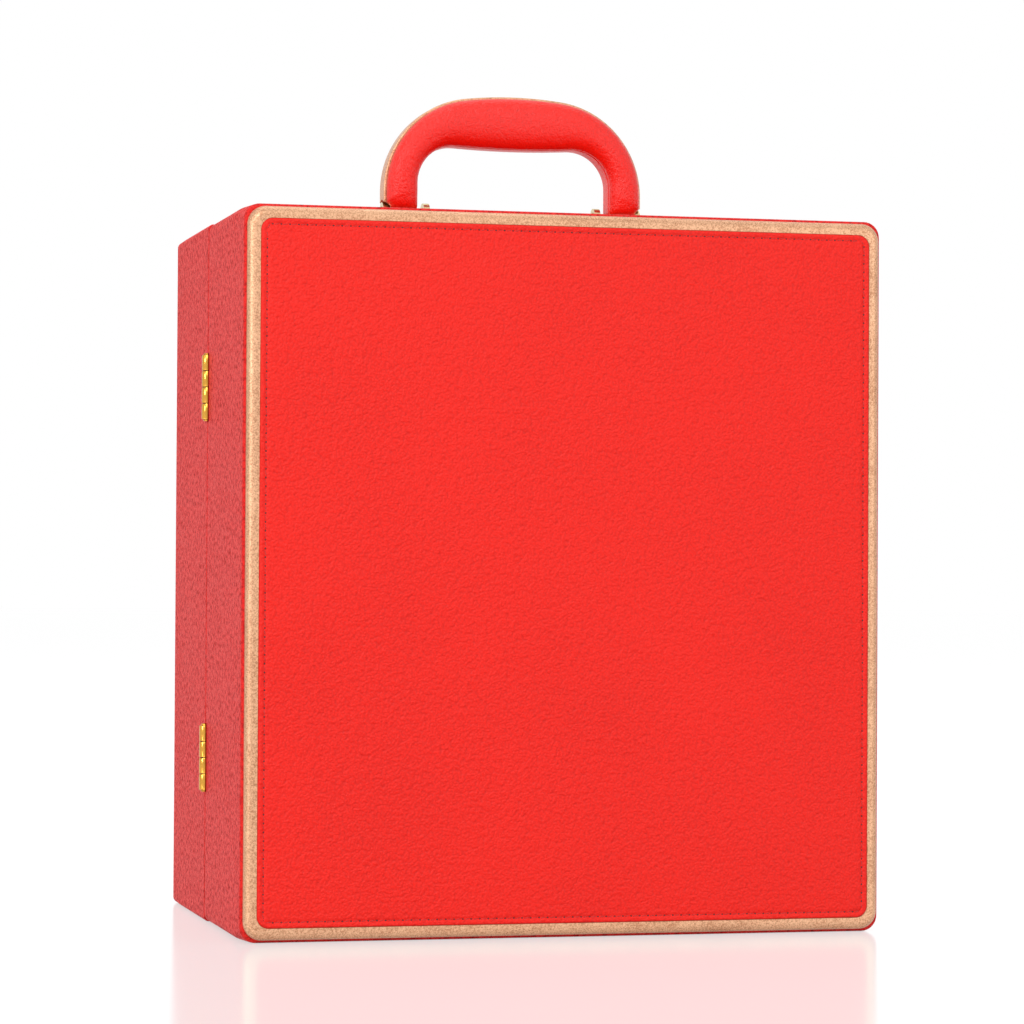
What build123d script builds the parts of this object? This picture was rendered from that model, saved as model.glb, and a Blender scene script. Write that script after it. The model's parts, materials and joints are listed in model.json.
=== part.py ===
from build123d import *
from math import sqrt
import os

# Leather case for six wine bottles, closed and standing upright. Sizes are in millimetres.
# X runs to the right, Y to the back and Z up. The case stands on Z = 0, centred on X and Y.
# It opens like a book: a front and a rear half meet at the seam, on the plane Y = 0,
# with the hinges on the left and the latches on the right.

# Case halves
CASE_WIDTH = 327.0
CASE_HEIGHT = 360.0
HALF_DEPTH = 110.0
CORNER_RADIUS = 10.0
EDGE_ROUND = 2.0
LEATHER = 1.0
BOARD = 9.0
SEAM_GAP = 0.4

# Trim board and padded panel on each large face
TRIM_LEDGE = 1.4
TRIM_THICKNESS = 5.0
TRIM_CORNER = 9.0
TRIM_ROUND = 4.4
TRIM_BAND = 6.0
PANEL_RECESS = 1.5
PANEL_THICKNESS = 2.5
PANEL_CORNER = 6.0
PANEL_SOFT_EDGE = 0.9
PANEL_FIT = 0.1
STITCH_INSET = 3.0
STITCH_GROOVE_WIDTH = 0.8
STITCH_GROOVE_DEPTH = 0.3

# Lining and bottle bays
LINING = 1.5
LINING_SETBACK = 1.0
BOTTLES_PER_HALF = 3
BOTTLE_DIAMETER = 80.0
BOTTLE_CLEARANCE = 0.5
NECK_DIAMETER = 31.0
NECK_CLEARANCE = 1.0
DIVIDER = 8.0
DIVIDER_SETBACK = 30.0
REST_FIT = 0.1
REST_FOAM = 5.0
BODY_REST_CENTRE = 45.0
BODY_REST_HEIGHT = 30.0
BODY_REST_RISE = 8.0
NECK_REST_CENTRE = 262.0
NECK_REST_HEIGHT = 24.0
NECK_REST_RISE = 10.0
REST_LIP_RADIUS = 3.0

# Strap that holds the bottles in each half
STRAP_CENTRE = 155.0
STRAP_WIDTH = 26.0
STRAP_THICKNESS = 2.2
STRAP_BEND = 6.0
STRAP_WALL_LENGTH = 30.0
STRAP_OVERLAP = 34.0
STRAP_TAB_REACH = 48.0
STRAP_LAYER_GAP = 0.1
STRAP_BOTTLE_GAP = 0.6
SNAP_CAP_RADIUS = 6.3
SNAP_CAP_HEIGHT = 2.0
SNAP_POST_RADIUS = 2.0
SNAP_DISC_RADIUS = 4.5
SNAP_DISC_THICKNESS = 0.8
STRAP_SCREW_OFFSET = 18.0

# Butt hinges
HINGE_HEIGHT = 33.5
HINGE_END_DISTANCE = 84.5
HINGE_KNUCKLES = 4
BARREL_RADIUS = 2.85
HINGE_PIN_RADIUS = 1.4
HINGE_PROUD = 0.3
KNUCKLE_GAP = 0.15
PIN_FIT = 0.05
PIN_HEAD_RADIUS = 2.0
PIN_HEAD_HEIGHT = 0.8
BARREL_CLEARANCE = 0.35
LEAF_END_SETBACK = 0.5
LEAF_FIT = 0.1
LEAF_SCREW_PITCH = 12.5

# Handle: a flat core with a padded D on each side of it
HANDLE_Y = 12.0
HANDLE_HALF_WIDTH = 70.0
HANDLE_HEIGHT = 72.6
HANDLE_CROWN_RADIUS = 213.0
HANDLE_SHOULDER_RADIUS = 50.0
HANDLE_CORE_DEPTH = 11.0
CORE_PROUD = 0.9
CORE_EDGE_ROUND = 0.8
CORE_INNER_SETBACK = 0.8
GRIP_OPENING_HALF_WIDTH = 52.2
GRIP_OPENING_HEIGHT = 44.6
GRIP_BELLY_RADIUS = 500.0
GRIP_CORNER_RADIUS = 20.0
PAD_DEPTH = 8.0
PAD_ROUND = 7.2
PAD_FOOT_RISE = 1.5

# Handle brackets
PIVOT_HEIGHT = 10.0
EAR_RADIUS = 5.3
EAR_THICKNESS = 3.2
OUTER_EAR_FACE = 70.1
INNER_EAR_FACE = 45.0
EAR_LEG_GAP = 0.4
EAR_SWING_GAP = 1.3
FOOT_RADIUS = 5.5
SCALLOP_RADIUS = 5.8
SCALLOP_CENTRE = 72.0
BRACKET_PLATE = 1.5
BRACKET_PLATE_DEPTH = 13.0
BRACKET_PLATE_REACH = 9.0
BRACKET_PLATE_CORNER = 3.0
HANDLE_PIN_RADIUS = 2.0
HANDLE_PIN_HEAD_RADIUS = 3.0
HANDLE_PIN_HEAD_HEIGHT = 1.2
SPACER_RADIUS = 2.5

# Latches
LATCH_END_DISTANCE = 84.5
LATCH_HEIGHT = 22.0
LATCH_PLATE = 0.9
LATCH_CORNER = 2.5
LATCH_AXIS_PROUD = 1.6
LATCH_AXIS_SETBACK = 5.2
LATCH_BARREL_RADIUS = 1.4
LATCH_PIN_RADIUS = 0.6
LATCH_KNUCKLE = 5.0
LATCH_KNUCKLE_GAP = 0.2
LATCH_BASE_END = 24.0
HASP_THICKNESS = 1.0
HASP_LIFT = 0.2
HASP_END = 17.0
HASP_HALF_WIDTH = 9.0
HASP_LIP_HEIGHT = 1.05
HASP_LIP_LENGTH = 2.2
HASP_SLOT_START = 6.0
HASP_SLOT_END = 11.0
HASP_SLOT_HALF_WIDTH = 4.5
SLOT_CLEARANCE = 0.6
CATCH_START = 2.8
CATCH_END = 24.0
LUG_ROUND = 0.8
LATCH_SCREW_Y = 20.5
LATCH_SCREW_Z = 6.5

# Screws
SMALL_HEAD_RADIUS = 1.9
SMALL_SHANK_RADIUS = 1.0
SMALL_SCREW_LENGTH = 7.5
PLATE_HEAD_RADIUS = 2.6
PLATE_SHANK_RADIUS = 1.4
PLATE_SCREW_LENGTH = 8.0
SCREW_FIT = 0.05

# Places worked out from the sizes above
MID_HEIGHT = CASE_HEIGHT / 2
SHELL = LEATHER + BOARD
RIM_Y = -SEAM_GAP / 2
BOARD_RIM_Y = RIM_Y - LEATHER
BOARD_FACE_Y = -(HALF_DEPTH - LEATHER)
CAVITY_Y = -(HALF_DEPTH - SHELL)
CAVITY_HALF_WIDTH = CASE_WIDTH / 2 - SHELL
LINED_Y = CAVITY_Y + LINING
LINED_HALF_WIDTH = CAVITY_HALF_WIDTH - LINING
LINED_BASE = SHELL + LINING
LINED_TOP = CASE_HEIGHT - SHELL - LINING
BAY_WIDTH = (2 * LINED_HALF_WIDTH - (BOTTLES_PER_HALF - 1) * DIVIDER) / BOTTLES_PER_HALF
BAY_PITCH = BAY_WIDTH + DIVIDER
BAY_CENTRES = [(index - (BOTTLES_PER_HALF - 1) / 2) * BAY_PITCH for index in range(BOTTLES_PER_HALF)]
BOTTLE_RADIUS = BOTTLE_DIAMETER / 2
BOTTLE_AXIS_Y = LINED_Y + REST_FOAM + BOTTLE_RADIUS
STRAP_BACK_Y = BOTTLE_AXIS_Y + BOTTLE_RADIUS + STRAP_BOTTLE_GAP
TAB_FRONT_Y = STRAP_BACK_Y + STRAP_THICKNESS
STRAP_FRONT_Y = TAB_FRONT_Y + STRAP_LAYER_GAP + STRAP_THICKNESS
SNAP_X = LINED_HALF_WIDTH - STRAP_TAB_REACH + STRAP_OVERLAP / 2
HINGE_X = -CASE_WIDTH / 2 - HINGE_PROUD
HINGE_HEIGHTS = [HINGE_END_DISTANCE, CASE_HEIGHT - HINGE_END_DISTANCE]
LEAF_END_X = -CAVITY_HALF_WIDTH - LEAF_END_SETBACK
LEAF_START = BARREL_RADIUS + BARREL_CLEARANCE
PIVOT_Z = CASE_HEIGHT + PIVOT_HEIGHT
LEG_OUTER_X = OUTER_EAR_FACE - EAR_THICKNESS - EAR_LEG_GAP
LATCH_FACE_X = CASE_WIDTH / 2
LATCH_HEIGHTS = [LATCH_END_DISTANCE, CASE_HEIGHT - LATCH_END_DISTANCE]
LATCH_AXIS_X = LATCH_FACE_X + LATCH_AXIS_PROUD
LATCH_AXIS_Y = -LATCH_AXIS_SETBACK
HASP_X = LATCH_FACE_X + LATCH_PLATE + HASP_LIFT
HASP_OUTER_X = HASP_X + HASP_THICKNESS


def block(x_low, x_high, y_low, y_high, z_low, z_high):
    """A plain rectangular solid between two corners."""
    middle = ((x_low + x_high) / 2, (y_low + y_high) / 2, (z_low + z_high) / 2)
    return Pos(*middle) * Box(x_high - x_low, y_high - y_low, z_high - z_low)


def slab(width, height, corner, y_low, y_high):
    """An upright rounded plate, centred on the case when seen from the front."""
    face = Plane((0, y_high, MID_HEIGHT), x_dir=(1, 0, 0), z_dir=(0, -1, 0))
    return extrude(face * RectangleRounded(width, height, corner), amount=y_high - y_low)


def bar(radius, length, centre, direction):
    """A round bar centred on a point."""
    return Plane(centre, z_dir=direction) * Cylinder(radius, length)


def to_rear(shape):
    """The same piece in the rear half."""
    return mirror(shape, about=Plane.XZ)


def countersunk_screw(head_radius, shank_radius, length):
    """A screw with its head flush with Z = 0 and its shank below."""
    outline = Polyline(
        (0, 0),
        (head_radius, 0),
        (shank_radius, shank_radius - head_radius),
        (shank_radius, shank_radius - length),
        (0, -length),
        close=True,
    )
    return revolve(make_face(Plane.XZ * outline), Axis.Z)


def placed_screws(places, outward, head_radius, shank_radius, length, grow=0.0):
    """Screws driven in against the outward direction, or their holes when grown."""
    screw = countersunk_screw(head_radius + grow, shank_radius + grow, length + grow)
    return [Plane(place, z_dir=outward) * screw for place in places]


def case_envelope(inset):
    """The outside of one half, taken in by a distance on every side."""
    width = CASE_WIDTH - 2 * inset
    height = CASE_HEIGHT - 2 * inset
    body = slab(width, height, CORNER_RADIUS - inset, -(HALF_DEPTH - inset), RIM_Y - inset)
    rims = body.faces().sort_by(Axis.Y)
    return fillet(rims[0].edges() + rims[-1].edges(), EDGE_ROUND - inset)


def hinge_notches():
    """Room for the hinge barrels along the left edge of the seam."""
    height = HINGE_HEIGHT + 2 * (PIN_HEAD_HEIGHT + BARREL_CLEARANCE)
    radius = BARREL_RADIUS + BARREL_CLEARANCE
    return [bar(radius, height, (HINGE_X, 0, z), (0, 0, 1)) for z in HINGE_HEIGHTS]


def leaf_windows():
    """Openings in the rim leather that the hinge leaves fill."""
    half = HINGE_HEIGHT / 2 + LEAF_FIT
    return [
        block(HINGE_X, LEAF_END_X + LEAF_FIT, BOARD_RIM_Y, 0, z - half, z + half)
        for z in HINGE_HEIGHTS
    ]


def hinge_screw_places():
    """Where the screws sit in the two leaves of one half."""
    middle = (HINGE_X + LEAF_START + LEAF_END_X) / 2
    return [
        (middle, RIM_Y, z + step * LEAF_SCREW_PITCH)
        for z in HINGE_HEIGHTS
        for step in (-1, 0, 1)
    ]


def hinge_screws(grow=0.0):
    """Three screws in each leaf of the front half."""
    places = hinge_screw_places()
    return placed_screws(places, (0, 1, 0), SMALL_HEAD_RADIUS, SMALL_SHANK_RADIUS, SMALL_SCREW_LENGTH, grow)


def latch_screws(grow=0.0):
    """Two screws in each latch plate of the front half."""
    face = LATCH_FACE_X + LATCH_PLATE
    places = [
        (face, -LATCH_SCREW_Y, z + step * LATCH_SCREW_Z)
        for z in LATCH_HEIGHTS
        for step in (-1, 1)
    ]
    return placed_screws(places, (1, 0, 0), SMALL_HEAD_RADIUS, SMALL_SHANK_RADIUS, SMALL_SCREW_LENGTH, grow)


def strap_screws(grow=0.0):
    """One screw through each wall end of the strap and of its tab."""
    wall_face = LINED_HALF_WIDTH - STRAP_THICKNESS
    long_y = STRAP_FRONT_Y - STRAP_SCREW_OFFSET
    left = placed_screws(
        [(-wall_face, long_y, STRAP_CENTRE)],
        (1, 0, 0), PLATE_HEAD_RADIUS, PLATE_SHANK_RADIUS, PLATE_SCREW_LENGTH, grow,
    )
    right = placed_screws(
        [(wall_face, long_y, STRAP_CENTRE)],
        (-1, 0, 0), PLATE_HEAD_RADIUS, PLATE_SHANK_RADIUS, PLATE_SCREW_LENGTH, grow,
    )
    return left + right


def bracket_screws(grow=0.0):
    """A screw at each end of both bracket plates, on top of the rear half."""
    reach = (BRACKET_PLATE_REACH + EAR_RADIUS / 2) / 2
    inner = INNER_EAR_FACE - reach
    outer = OUTER_EAR_FACE + reach
    top = CASE_HEIGHT + BRACKET_PLATE
    places = [(side * x, HANDLE_Y, top) for side in (-1, 1) for x in (inner, outer)]
    return placed_screws(places, (0, 0, 1), PLATE_HEAD_RADIUS, PLATE_SHANK_RADIUS, PLATE_SCREW_LENGTH, grow)


def carcass_boards():
    """The five boards of the front half: a face board and four boards round its back."""
    envelope = case_envelope(LEATHER)
    wide = CASE_WIDTH
    high = CASE_HEIGHT
    side = CAVITY_HALF_WIDTH
    face = envelope & block(-wide, wide, BOARD_FACE_Y, CAVITY_Y, 0, high)
    left = envelope & block(-wide, -side, CAVITY_Y, BOARD_RIM_Y, 0, high)
    right = envelope & block(side, wide, CAVITY_Y, BOARD_RIM_Y, 0, high)
    top = envelope & block(-side, side, CAVITY_Y, BOARD_RIM_Y, high - SHELL, high)
    base = envelope & block(-side, side, CAVITY_Y, BOARD_RIM_Y, 0, SHELL)
    left = left - hinge_notches() - hinge_screws(SCREW_FIT) - strap_screws(SCREW_FIT)
    right = right - latch_screws(SCREW_FIT) - strap_screws(SCREW_FIT)
    return {
        "face_board": face,
        "hinge_side_board": left,
        "latch_side_board": right,
        "top_board": top,
        "bottom_board": base,
    }


def leather_skin():
    """The leather over the front half: round the sides, over the face and over the rim."""
    mouth = block(
        -CAVITY_HALF_WIDTH, CAVITY_HALF_WIDTH,
        BOARD_RIM_Y - 1, 1,
        SHELL, CASE_HEIGHT - SHELL,
    )
    skin = case_envelope(0) - case_envelope(LEATHER) - mouth
    base = block(
        -(CASE_WIDTH / 2 - CORNER_RADIUS), CASE_WIDTH / 2 - CORNER_RADIUS,
        -HALF_DEPTH - 1, 1,
        -1, EDGE_ROUND,
    )
    wrap = skin - base - hinge_notches() - leaf_windows() - latch_screws(SCREW_FIT)
    return {"leather_wrap": wrap, "base_leather": skin & base}


def trim_board():
    """The metallic board on the large face, with a rounded edge and a recess for the panel."""
    front = -(HALF_DEPTH + TRIM_THICKNESS)
    width = CASE_WIDTH - 2 * TRIM_LEDGE
    height = CASE_HEIGHT - 2 * TRIM_LEDGE
    board = slab(width, height, TRIM_CORNER, front, -HALF_DEPTH)
    board = fillet(board.faces().sort_by(Axis.Y)[0].edges(), TRIM_ROUND)
    recess = slab(
        width - 2 * TRIM_BAND, height - 2 * TRIM_BAND, PANEL_CORNER, front, front + PANEL_RECESS
    )
    return board - recess


def padded_panel():
    """The leather panel in the trim board's recess, with a soft edge and a stitched channel."""
    seat = -(HALF_DEPTH + TRIM_THICKNESS - PANEL_RECESS)
    front = seat - PANEL_THICKNESS
    border = 2 * (TRIM_LEDGE + TRIM_BAND + PANEL_FIT)
    width = CASE_WIDTH - border
    height = CASE_HEIGHT - border
    panel = slab(width, height, PANEL_CORNER - PANEL_FIT, front, seat)
    panel = fillet(panel.faces().sort_by(Axis.Y)[0].edges(), PANEL_SOFT_EDGE)
    outer_inset = STITCH_INSET - STITCH_GROOVE_WIDTH / 2
    inner_inset = STITCH_INSET + STITCH_GROOVE_WIDTH / 2
    rings = [
        slab(
            width - 2 * inset, height - 2 * inset, PANEL_CORNER - PANEL_FIT - inset,
            front, front + STITCH_GROOVE_DEPTH,
        )
        for inset in (outer_inset, inner_inset)
    ]
    return panel - (rings[0] - rings[1])


def lining():
    """The velvet tray inside the front half."""
    rim = BOARD_RIM_Y - LINING_SETBACK
    outer = block(
        -CAVITY_HALF_WIDTH, CAVITY_HALF_WIDTH, CAVITY_Y, rim, SHELL, CASE_HEIGHT - SHELL
    )
    inner = block(-LINED_HALF_WIDTH, LINED_HALF_WIDTH, LINED_Y, rim + 1, LINED_BASE, LINED_TOP)
    return outer - inner - strap_screws(SCREW_FIT)


def dividers():
    """Upright boards between the bottles, with their free edge fully rounded."""
    boards = []
    for left_bay in BAY_CENTRES[:-1]:
        middle = left_bay + BAY_PITCH / 2
        board = block(
            middle - DIVIDER / 2, middle + DIVIDER / 2, LINED_Y, -DIVIDER_SETBACK, LINED_BASE, LINED_TOP
        )
        free_edges = board.faces().sort_by(Axis.Y)[-1].edges().filter_by(Axis.Z)
        boards.append(fillet(free_edges, DIVIDER / 2 - REST_FIT))
    return boards


def bottle_rests(notch_radius, rise, centre, height):
    """One padded rest in each bay, with a notch that a bottle lies in."""
    rests = []
    front = BOTTLE_AXIS_Y + rise
    half = BAY_WIDTH / 2 - REST_FIT
    for x in BAY_CENTRES:
        rest = block(x - half, x + half, LINED_Y, front, centre - height / 2, centre + height / 2)
        rest = rest - bar(notch_radius, height, (x, BOTTLE_AXIS_Y, centre), (0, 0, 1))
        if rise > 0:
            rest = rest - block(
                x - notch_radius, x + notch_radius, BOTTLE_AXIS_Y, front, centre - height, centre + height
            )
        lips = rest.edges().filter_by(Axis.Z).group_by(Axis.Y)[-1]
        rests.append(fillet(lips, REST_LIP_RADIUS))
    return rests


def bent_strap(wall_x, end_x, front_y):
    """A strap that leaves a side wall and turns to run across the bottles."""
    toward = 1 if end_x > wall_x else -1
    low = STRAP_CENTRE - STRAP_WIDTH / 2
    high = STRAP_CENTRE + STRAP_WIDTH / 2
    back = STRAP_FRONT_Y - STRAP_WALL_LENGTH

    def corner_block(inset, spill):
        start = wall_x + toward * inset
        stop = end_x + toward * spill
        solid = block(min(start, stop), max(start, stop), back - spill, front_y - inset, low, high)
        wall_side = solid.faces().sort_by(Axis.X)[0 if toward > 0 else -1]
        edge = wall_side.edges().filter_by(Axis.Z).sort_by(Axis.Y)[-1]
        return fillet(edge, STRAP_BEND - inset)

    strap = corner_block(0, 0) - corner_block(STRAP_THICKNESS, 1)
    tip = strap.faces().filter_by(Axis.X).sort_by(Axis.X)[-1 if toward > 0 else 0]
    return fillet(tip.edges().filter_by(Axis.Y), STRAP_WIDTH / 2 - REST_FIT)


def snap_holes():
    """The hole that the snap fastener's posts pass through."""
    return bar(SNAP_POST_RADIUS + SCREW_FIT, 4 * STRAP_THICKNESS, (SNAP_X, TAB_FRONT_Y, STRAP_CENTRE), (0, 1, 0))


def bottle_strap():
    """The long strap, from the hinge side across all bays to the tab."""
    tip_x = SNAP_X + STRAP_OVERLAP / 2
    return bent_strap(-LINED_HALF_WIDTH, tip_x, STRAP_FRONT_Y) - snap_holes() - strap_screws(SCREW_FIT)


def strap_tab():
    """The short tab on the latch side that the long strap snaps on to."""
    tip_x = SNAP_X - STRAP_OVERLAP / 2
    return bent_strap(LINED_HALF_WIDTH, tip_x, TAB_FRONT_Y) - snap_holes() - strap_screws(SCREW_FIT)


def snap_fastener():
    """The domed cap on the strap and the stud on the tab."""
    middle = TAB_FRONT_Y + STRAP_LAYER_GAP / 2
    place = Plane((SNAP_X, STRAP_FRONT_Y, STRAP_CENTRE), z_dir=(0, 1, 0))
    dome = place * (Pos(0, 0, SNAP_CAP_HEIGHT / 2) * Cylinder(SNAP_CAP_RADIUS, SNAP_CAP_HEIGHT))
    dome = fillet(dome.faces().sort_by(Axis.Y)[-1].edges(), SNAP_CAP_HEIGHT * 0.8)
    cap_post = STRAP_FRONT_Y - middle
    stud_post = middle - STRAP_BACK_Y
    cap = dome + bar(SNAP_POST_RADIUS, cap_post, (SNAP_X, middle + cap_post / 2, STRAP_CENTRE), (0, 1, 0))
    stud = bar(SNAP_POST_RADIUS, stud_post, (SNAP_X, middle - stud_post / 2, STRAP_CENTRE), (0, 1, 0))
    disc_y = STRAP_BACK_Y - SNAP_DISC_THICKNESS / 2
    stud = stud + bar(SNAP_DISC_RADIUS, SNAP_DISC_THICKNESS, (SNAP_X, disc_y, STRAP_CENTRE), (0, 1, 0))
    return [cap, stud]


def hinge_leaf(knuckles, centre_z):
    """The front half's leaf of one hinge, with the knuckles that it owns."""
    pitch = HINGE_HEIGHT / HINGE_KNUCKLES
    low = centre_z - HINGE_HEIGHT / 2
    leaf = block(HINGE_X + LEAF_START, LEAF_END_X, BOARD_RIM_Y, RIM_Y, low, low + HINGE_HEIGHT)
    for knuckle in knuckles:
        bottom = low + knuckle * pitch + KNUCKLE_GAP / 2
        top = bottom + pitch - KNUCKLE_GAP
        middle = (HINGE_X, 0, (bottom + top) / 2)
        leaf = leaf + bar(BARREL_RADIUS, top - bottom, middle, (0, 0, 1))
        leaf = leaf + block(HINGE_X, HINGE_X + LEAF_START + LEAF_FIT, BOARD_RIM_Y, RIM_Y, bottom, top)
    return leaf - bar(HINGE_PIN_RADIUS + PIN_FIT, HINGE_HEIGHT, (HINGE_X, 0, centre_z), (0, 0, 1))


def hinge_leaves(knuckles):
    """Both leaves of one half, drilled for their screws."""
    holes = hinge_screws(SCREW_FIT)
    return [hinge_leaf(knuckles, z) - holes for z in HINGE_HEIGHTS]


def headed_pin(radius, length, head_radius, head_height, centre, direction):
    """A pin with a low domed head on each end."""
    half = length / 2
    shank = Cylinder(radius, length)
    head = Pos(0, 0, half + head_height / 2) * Cylinder(head_radius, head_height)
    head = fillet(head.faces().sort_by(Axis.Z)[-1].edges(), head_height * 0.7)
    return Plane(centre, z_dir=direction) * (shank + head + mirror(head, about=Plane.XY))


def hinge_pins():
    """The pins of both hinges."""
    return [
        headed_pin(HINGE_PIN_RADIUS, HINGE_HEIGHT, PIN_HEAD_RADIUS, PIN_HEAD_HEIGHT, (HINGE_X, 0, z), (0, 0, 1))
        for z in HINGE_HEIGHTS
    ]


def arch_outside(growth):
    """The handle's outer outline, seen from the front: two legs under a crowned top."""
    half = HANDLE_HALF_WIDTH + growth
    top = HANDLE_HEIGHT + growth
    crown = HANDLE_CROWN_RADIUS + growth
    side_top = top - crown + sqrt(crown**2 - half**2)
    corners = [(-half, 0), (half, 0), (half, side_top), (-half, side_top)]
    face = make_face([
        Line(corners[0], corners[1]),
        Line(corners[1], corners[2]),
        ThreePointArc(corners[2], (0, top), corners[3]),
        Line(corners[3], corners[0]),
    ])
    return fillet(face.vertices().group_by(Axis.Y)[-1], HANDLE_SHOULDER_RADIUS + growth)


def arch_inside(growth):
    """The opening under the grip, whose underside bellies down a little."""
    half = GRIP_OPENING_HALF_WIDTH + growth
    middle = GRIP_OPENING_HEIGHT + growth
    belly = GRIP_BELLY_RADIUS - growth
    side_top = middle + belly - sqrt(belly**2 - half**2)
    corners = [(-half, -1), (half, -1), (half, side_top), (-half, side_top)]
    face = make_face([
        Line(corners[0], corners[1]),
        Line(corners[1], corners[2]),
        ThreePointArc(corners[2], (0, middle), corners[3]),
        Line(corners[3], corners[0]),
    ])
    return fillet(face.vertices().group_by(Axis.Y)[-1], GRIP_CORNER_RADIUS + growth)


def arch(outer_growth, inner_growth, foot_height, y_low, y_high):
    """A handle layer: the arch between its two outlines, cut off above a height."""
    outline = arch_outside(outer_growth) - arch_inside(inner_growth)
    outline = outline - Pos(0, foot_height / 2) * Rectangle(3 * HANDLE_HALF_WIDTH, foot_height)
    plane = Plane((0, y_high, CASE_HEIGHT), x_dir=(1, 0, 0), z_dir=(0, -1, 0))
    return extrude(plane * outline, amount=y_high - y_low)


def ear_scallops():
    """Cuts in the outer lower corners of both legs that clear the outer ears."""
    cuts = []
    depth = HANDLE_CORE_DEPTH + 2 * PAD_DEPTH + 2
    for side in (-1, 1):
        cuts.append(bar(SCALLOP_RADIUS, depth, (side * SCALLOP_CENTRE, HANDLE_Y, PIVOT_Z), (0, 1, 0)))
        x_low, x_high = sorted((side * LEG_OUTER_X, side * (SCALLOP_CENTRE + SCALLOP_RADIUS)))
        low = PIVOT_Z - PIVOT_HEIGHT
        cuts.append(block(x_low, x_high, HANDLE_Y - depth / 2, HANDLE_Y + depth / 2, low, PIVOT_Z))
        middle = ((x_low + x_high) / 2, HANDLE_Y, PIVOT_Z)
        cuts.append(bar(EAR_RADIUS + EAR_SWING_GAP, x_high - x_low, middle, (1, 0, 0)))
    return cuts


def handle_core():
    """The flat core whose edge shows as a band, with rounded feet on the pivot pins."""
    half_depth = HANDLE_CORE_DEPTH / 2
    core = arch(0, CORE_INNER_SETBACK, PIVOT_HEIGHT, HANDLE_Y - half_depth, HANDLE_Y + half_depth)
    rims = core.faces().filter_by(Axis.Y)
    outer_edges = [
        edge
        for rim in rims
        for edge in rim.edges()
        if edge.center().Z > PIVOT_Z + 1 and abs(edge.center().X) < HANDLE_HALF_WIDTH + 1
        and outside_grip(edge)
    ]
    core = fillet(outer_edges, CORE_EDGE_ROUND)
    core = core - ear_scallops()
    inner_x = GRIP_OPENING_HALF_WIDTH + CORE_INNER_SETBACK
    for side in (-1, 1):
        middle = side * (inner_x + LEG_OUTER_X) / 2
        core = core + bar(FOOT_RADIUS, LEG_OUTER_X - inner_x, (middle, HANDLE_Y, PIVOT_Z), (1, 0, 0))
    return core - bar(HANDLE_PIN_RADIUS + PIN_FIT, 4 * HANDLE_HALF_WIDTH, (0, HANDLE_Y, PIVOT_Z), (1, 0, 0))


def outside_grip(edge):
    """True for an edge of the handle that lies on its outer outline."""
    middle = edge.center()
    opening_half = GRIP_OPENING_HALF_WIDTH + CORE_INNER_SETBACK
    above = middle.Z > CASE_HEIGHT + GRIP_OPENING_HEIGHT + GRIP_CORNER_RADIUS / 2
    beside = abs(middle.X) > opening_half + 1
    return above or beside


def handle_pad():
    """The padded D on the front of the core, rounded all the way along."""
    back = HANDLE_Y - HANDLE_CORE_DEPTH / 2
    foot = PIVOT_HEIGHT + PAD_FOOT_RISE
    pad = arch(-CORE_PROUD, 0, foot, back - PAD_DEPTH, back)
    pad = fillet(pad.faces().sort_by(Axis.Y)[0].edges(), PAD_ROUND)
    return pad - ear_scallops()


def handle_bracket(side):
    """One bracket: a plate on the case with an ear on each side of the leg."""
    inner = INNER_EAR_FACE - BRACKET_PLATE_REACH
    outer = OUTER_EAR_FACE + BRACKET_PLATE_REACH
    middle = side * (inner + outer) / 2
    on_top = Plane((middle, HANDLE_Y, CASE_HEIGHT), x_dir=(1, 0, 0), z_dir=(0, 0, 1))
    outline = RectangleRounded(outer - inner, BRACKET_PLATE_DEPTH, BRACKET_PLATE_CORNER)
    bracket = extrude(on_top * outline, amount=BRACKET_PLATE)
    for face_x in (INNER_EAR_FACE, OUTER_EAR_FACE - EAR_THICKNESS):
        x_low, x_high = sorted((side * face_x, side * (face_x + EAR_THICKNESS)))
        ear = block(
            x_low, x_high, HANDLE_Y - EAR_RADIUS, HANDLE_Y + EAR_RADIUS, CASE_HEIGHT + BRACKET_PLATE / 2, PIVOT_Z
        )
        ear = ear + bar(EAR_RADIUS, EAR_THICKNESS, ((x_low + x_high) / 2, HANDLE_Y, PIVOT_Z), (1, 0, 0))
        bracket = bracket + ear
    hole = bar(HANDLE_PIN_RADIUS + PIN_FIT, outer, (middle, HANDLE_Y, PIVOT_Z), (1, 0, 0))
    return bracket - hole - bracket_screws(SCREW_FIT)


def handle_pins():
    """A pin through both ears and the leg on each side."""
    length = OUTER_EAR_FACE - INNER_EAR_FACE
    middle = (OUTER_EAR_FACE + INNER_EAR_FACE) / 2
    return [
        headed_pin(
            HANDLE_PIN_RADIUS, length, HANDLE_PIN_HEAD_RADIUS, HANDLE_PIN_HEAD_HEIGHT,
            (side * middle, HANDLE_Y, PIVOT_Z), (1, 0, 0),
        )
        for side in (-1, 1)
    ]


def handle_spacers():
    """Sleeves that keep the legs centred between the ears."""
    start = INNER_EAR_FACE + EAR_THICKNESS + REST_FIT
    end = GRIP_OPENING_HALF_WIDTH + CORE_INNER_SETBACK - REST_FIT
    sleeve = Cylinder(SPACER_RADIUS, end - start) - Cylinder(HANDLE_PIN_RADIUS + PIN_FIT, end - start)
    return [
        Plane((side * (start + end) / 2, HANDLE_Y, PIVOT_Z), z_dir=(1, 0, 0)) * sleeve
        for side in (-1, 1)
    ]


def latch_plate(y_low, y_high, centre_z):
    """A thin plate with rounded corners on the right side of the case."""
    face = Plane((LATCH_FACE_X, (y_low + y_high) / 2, centre_z), x_dir=(0, 1, 0), z_dir=(1, 0, 0))
    outline = RectangleRounded(y_high - y_low, LATCH_HEIGHT, LATCH_CORNER)
    return extrude(face * outline, amount=LATCH_PLATE)


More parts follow.
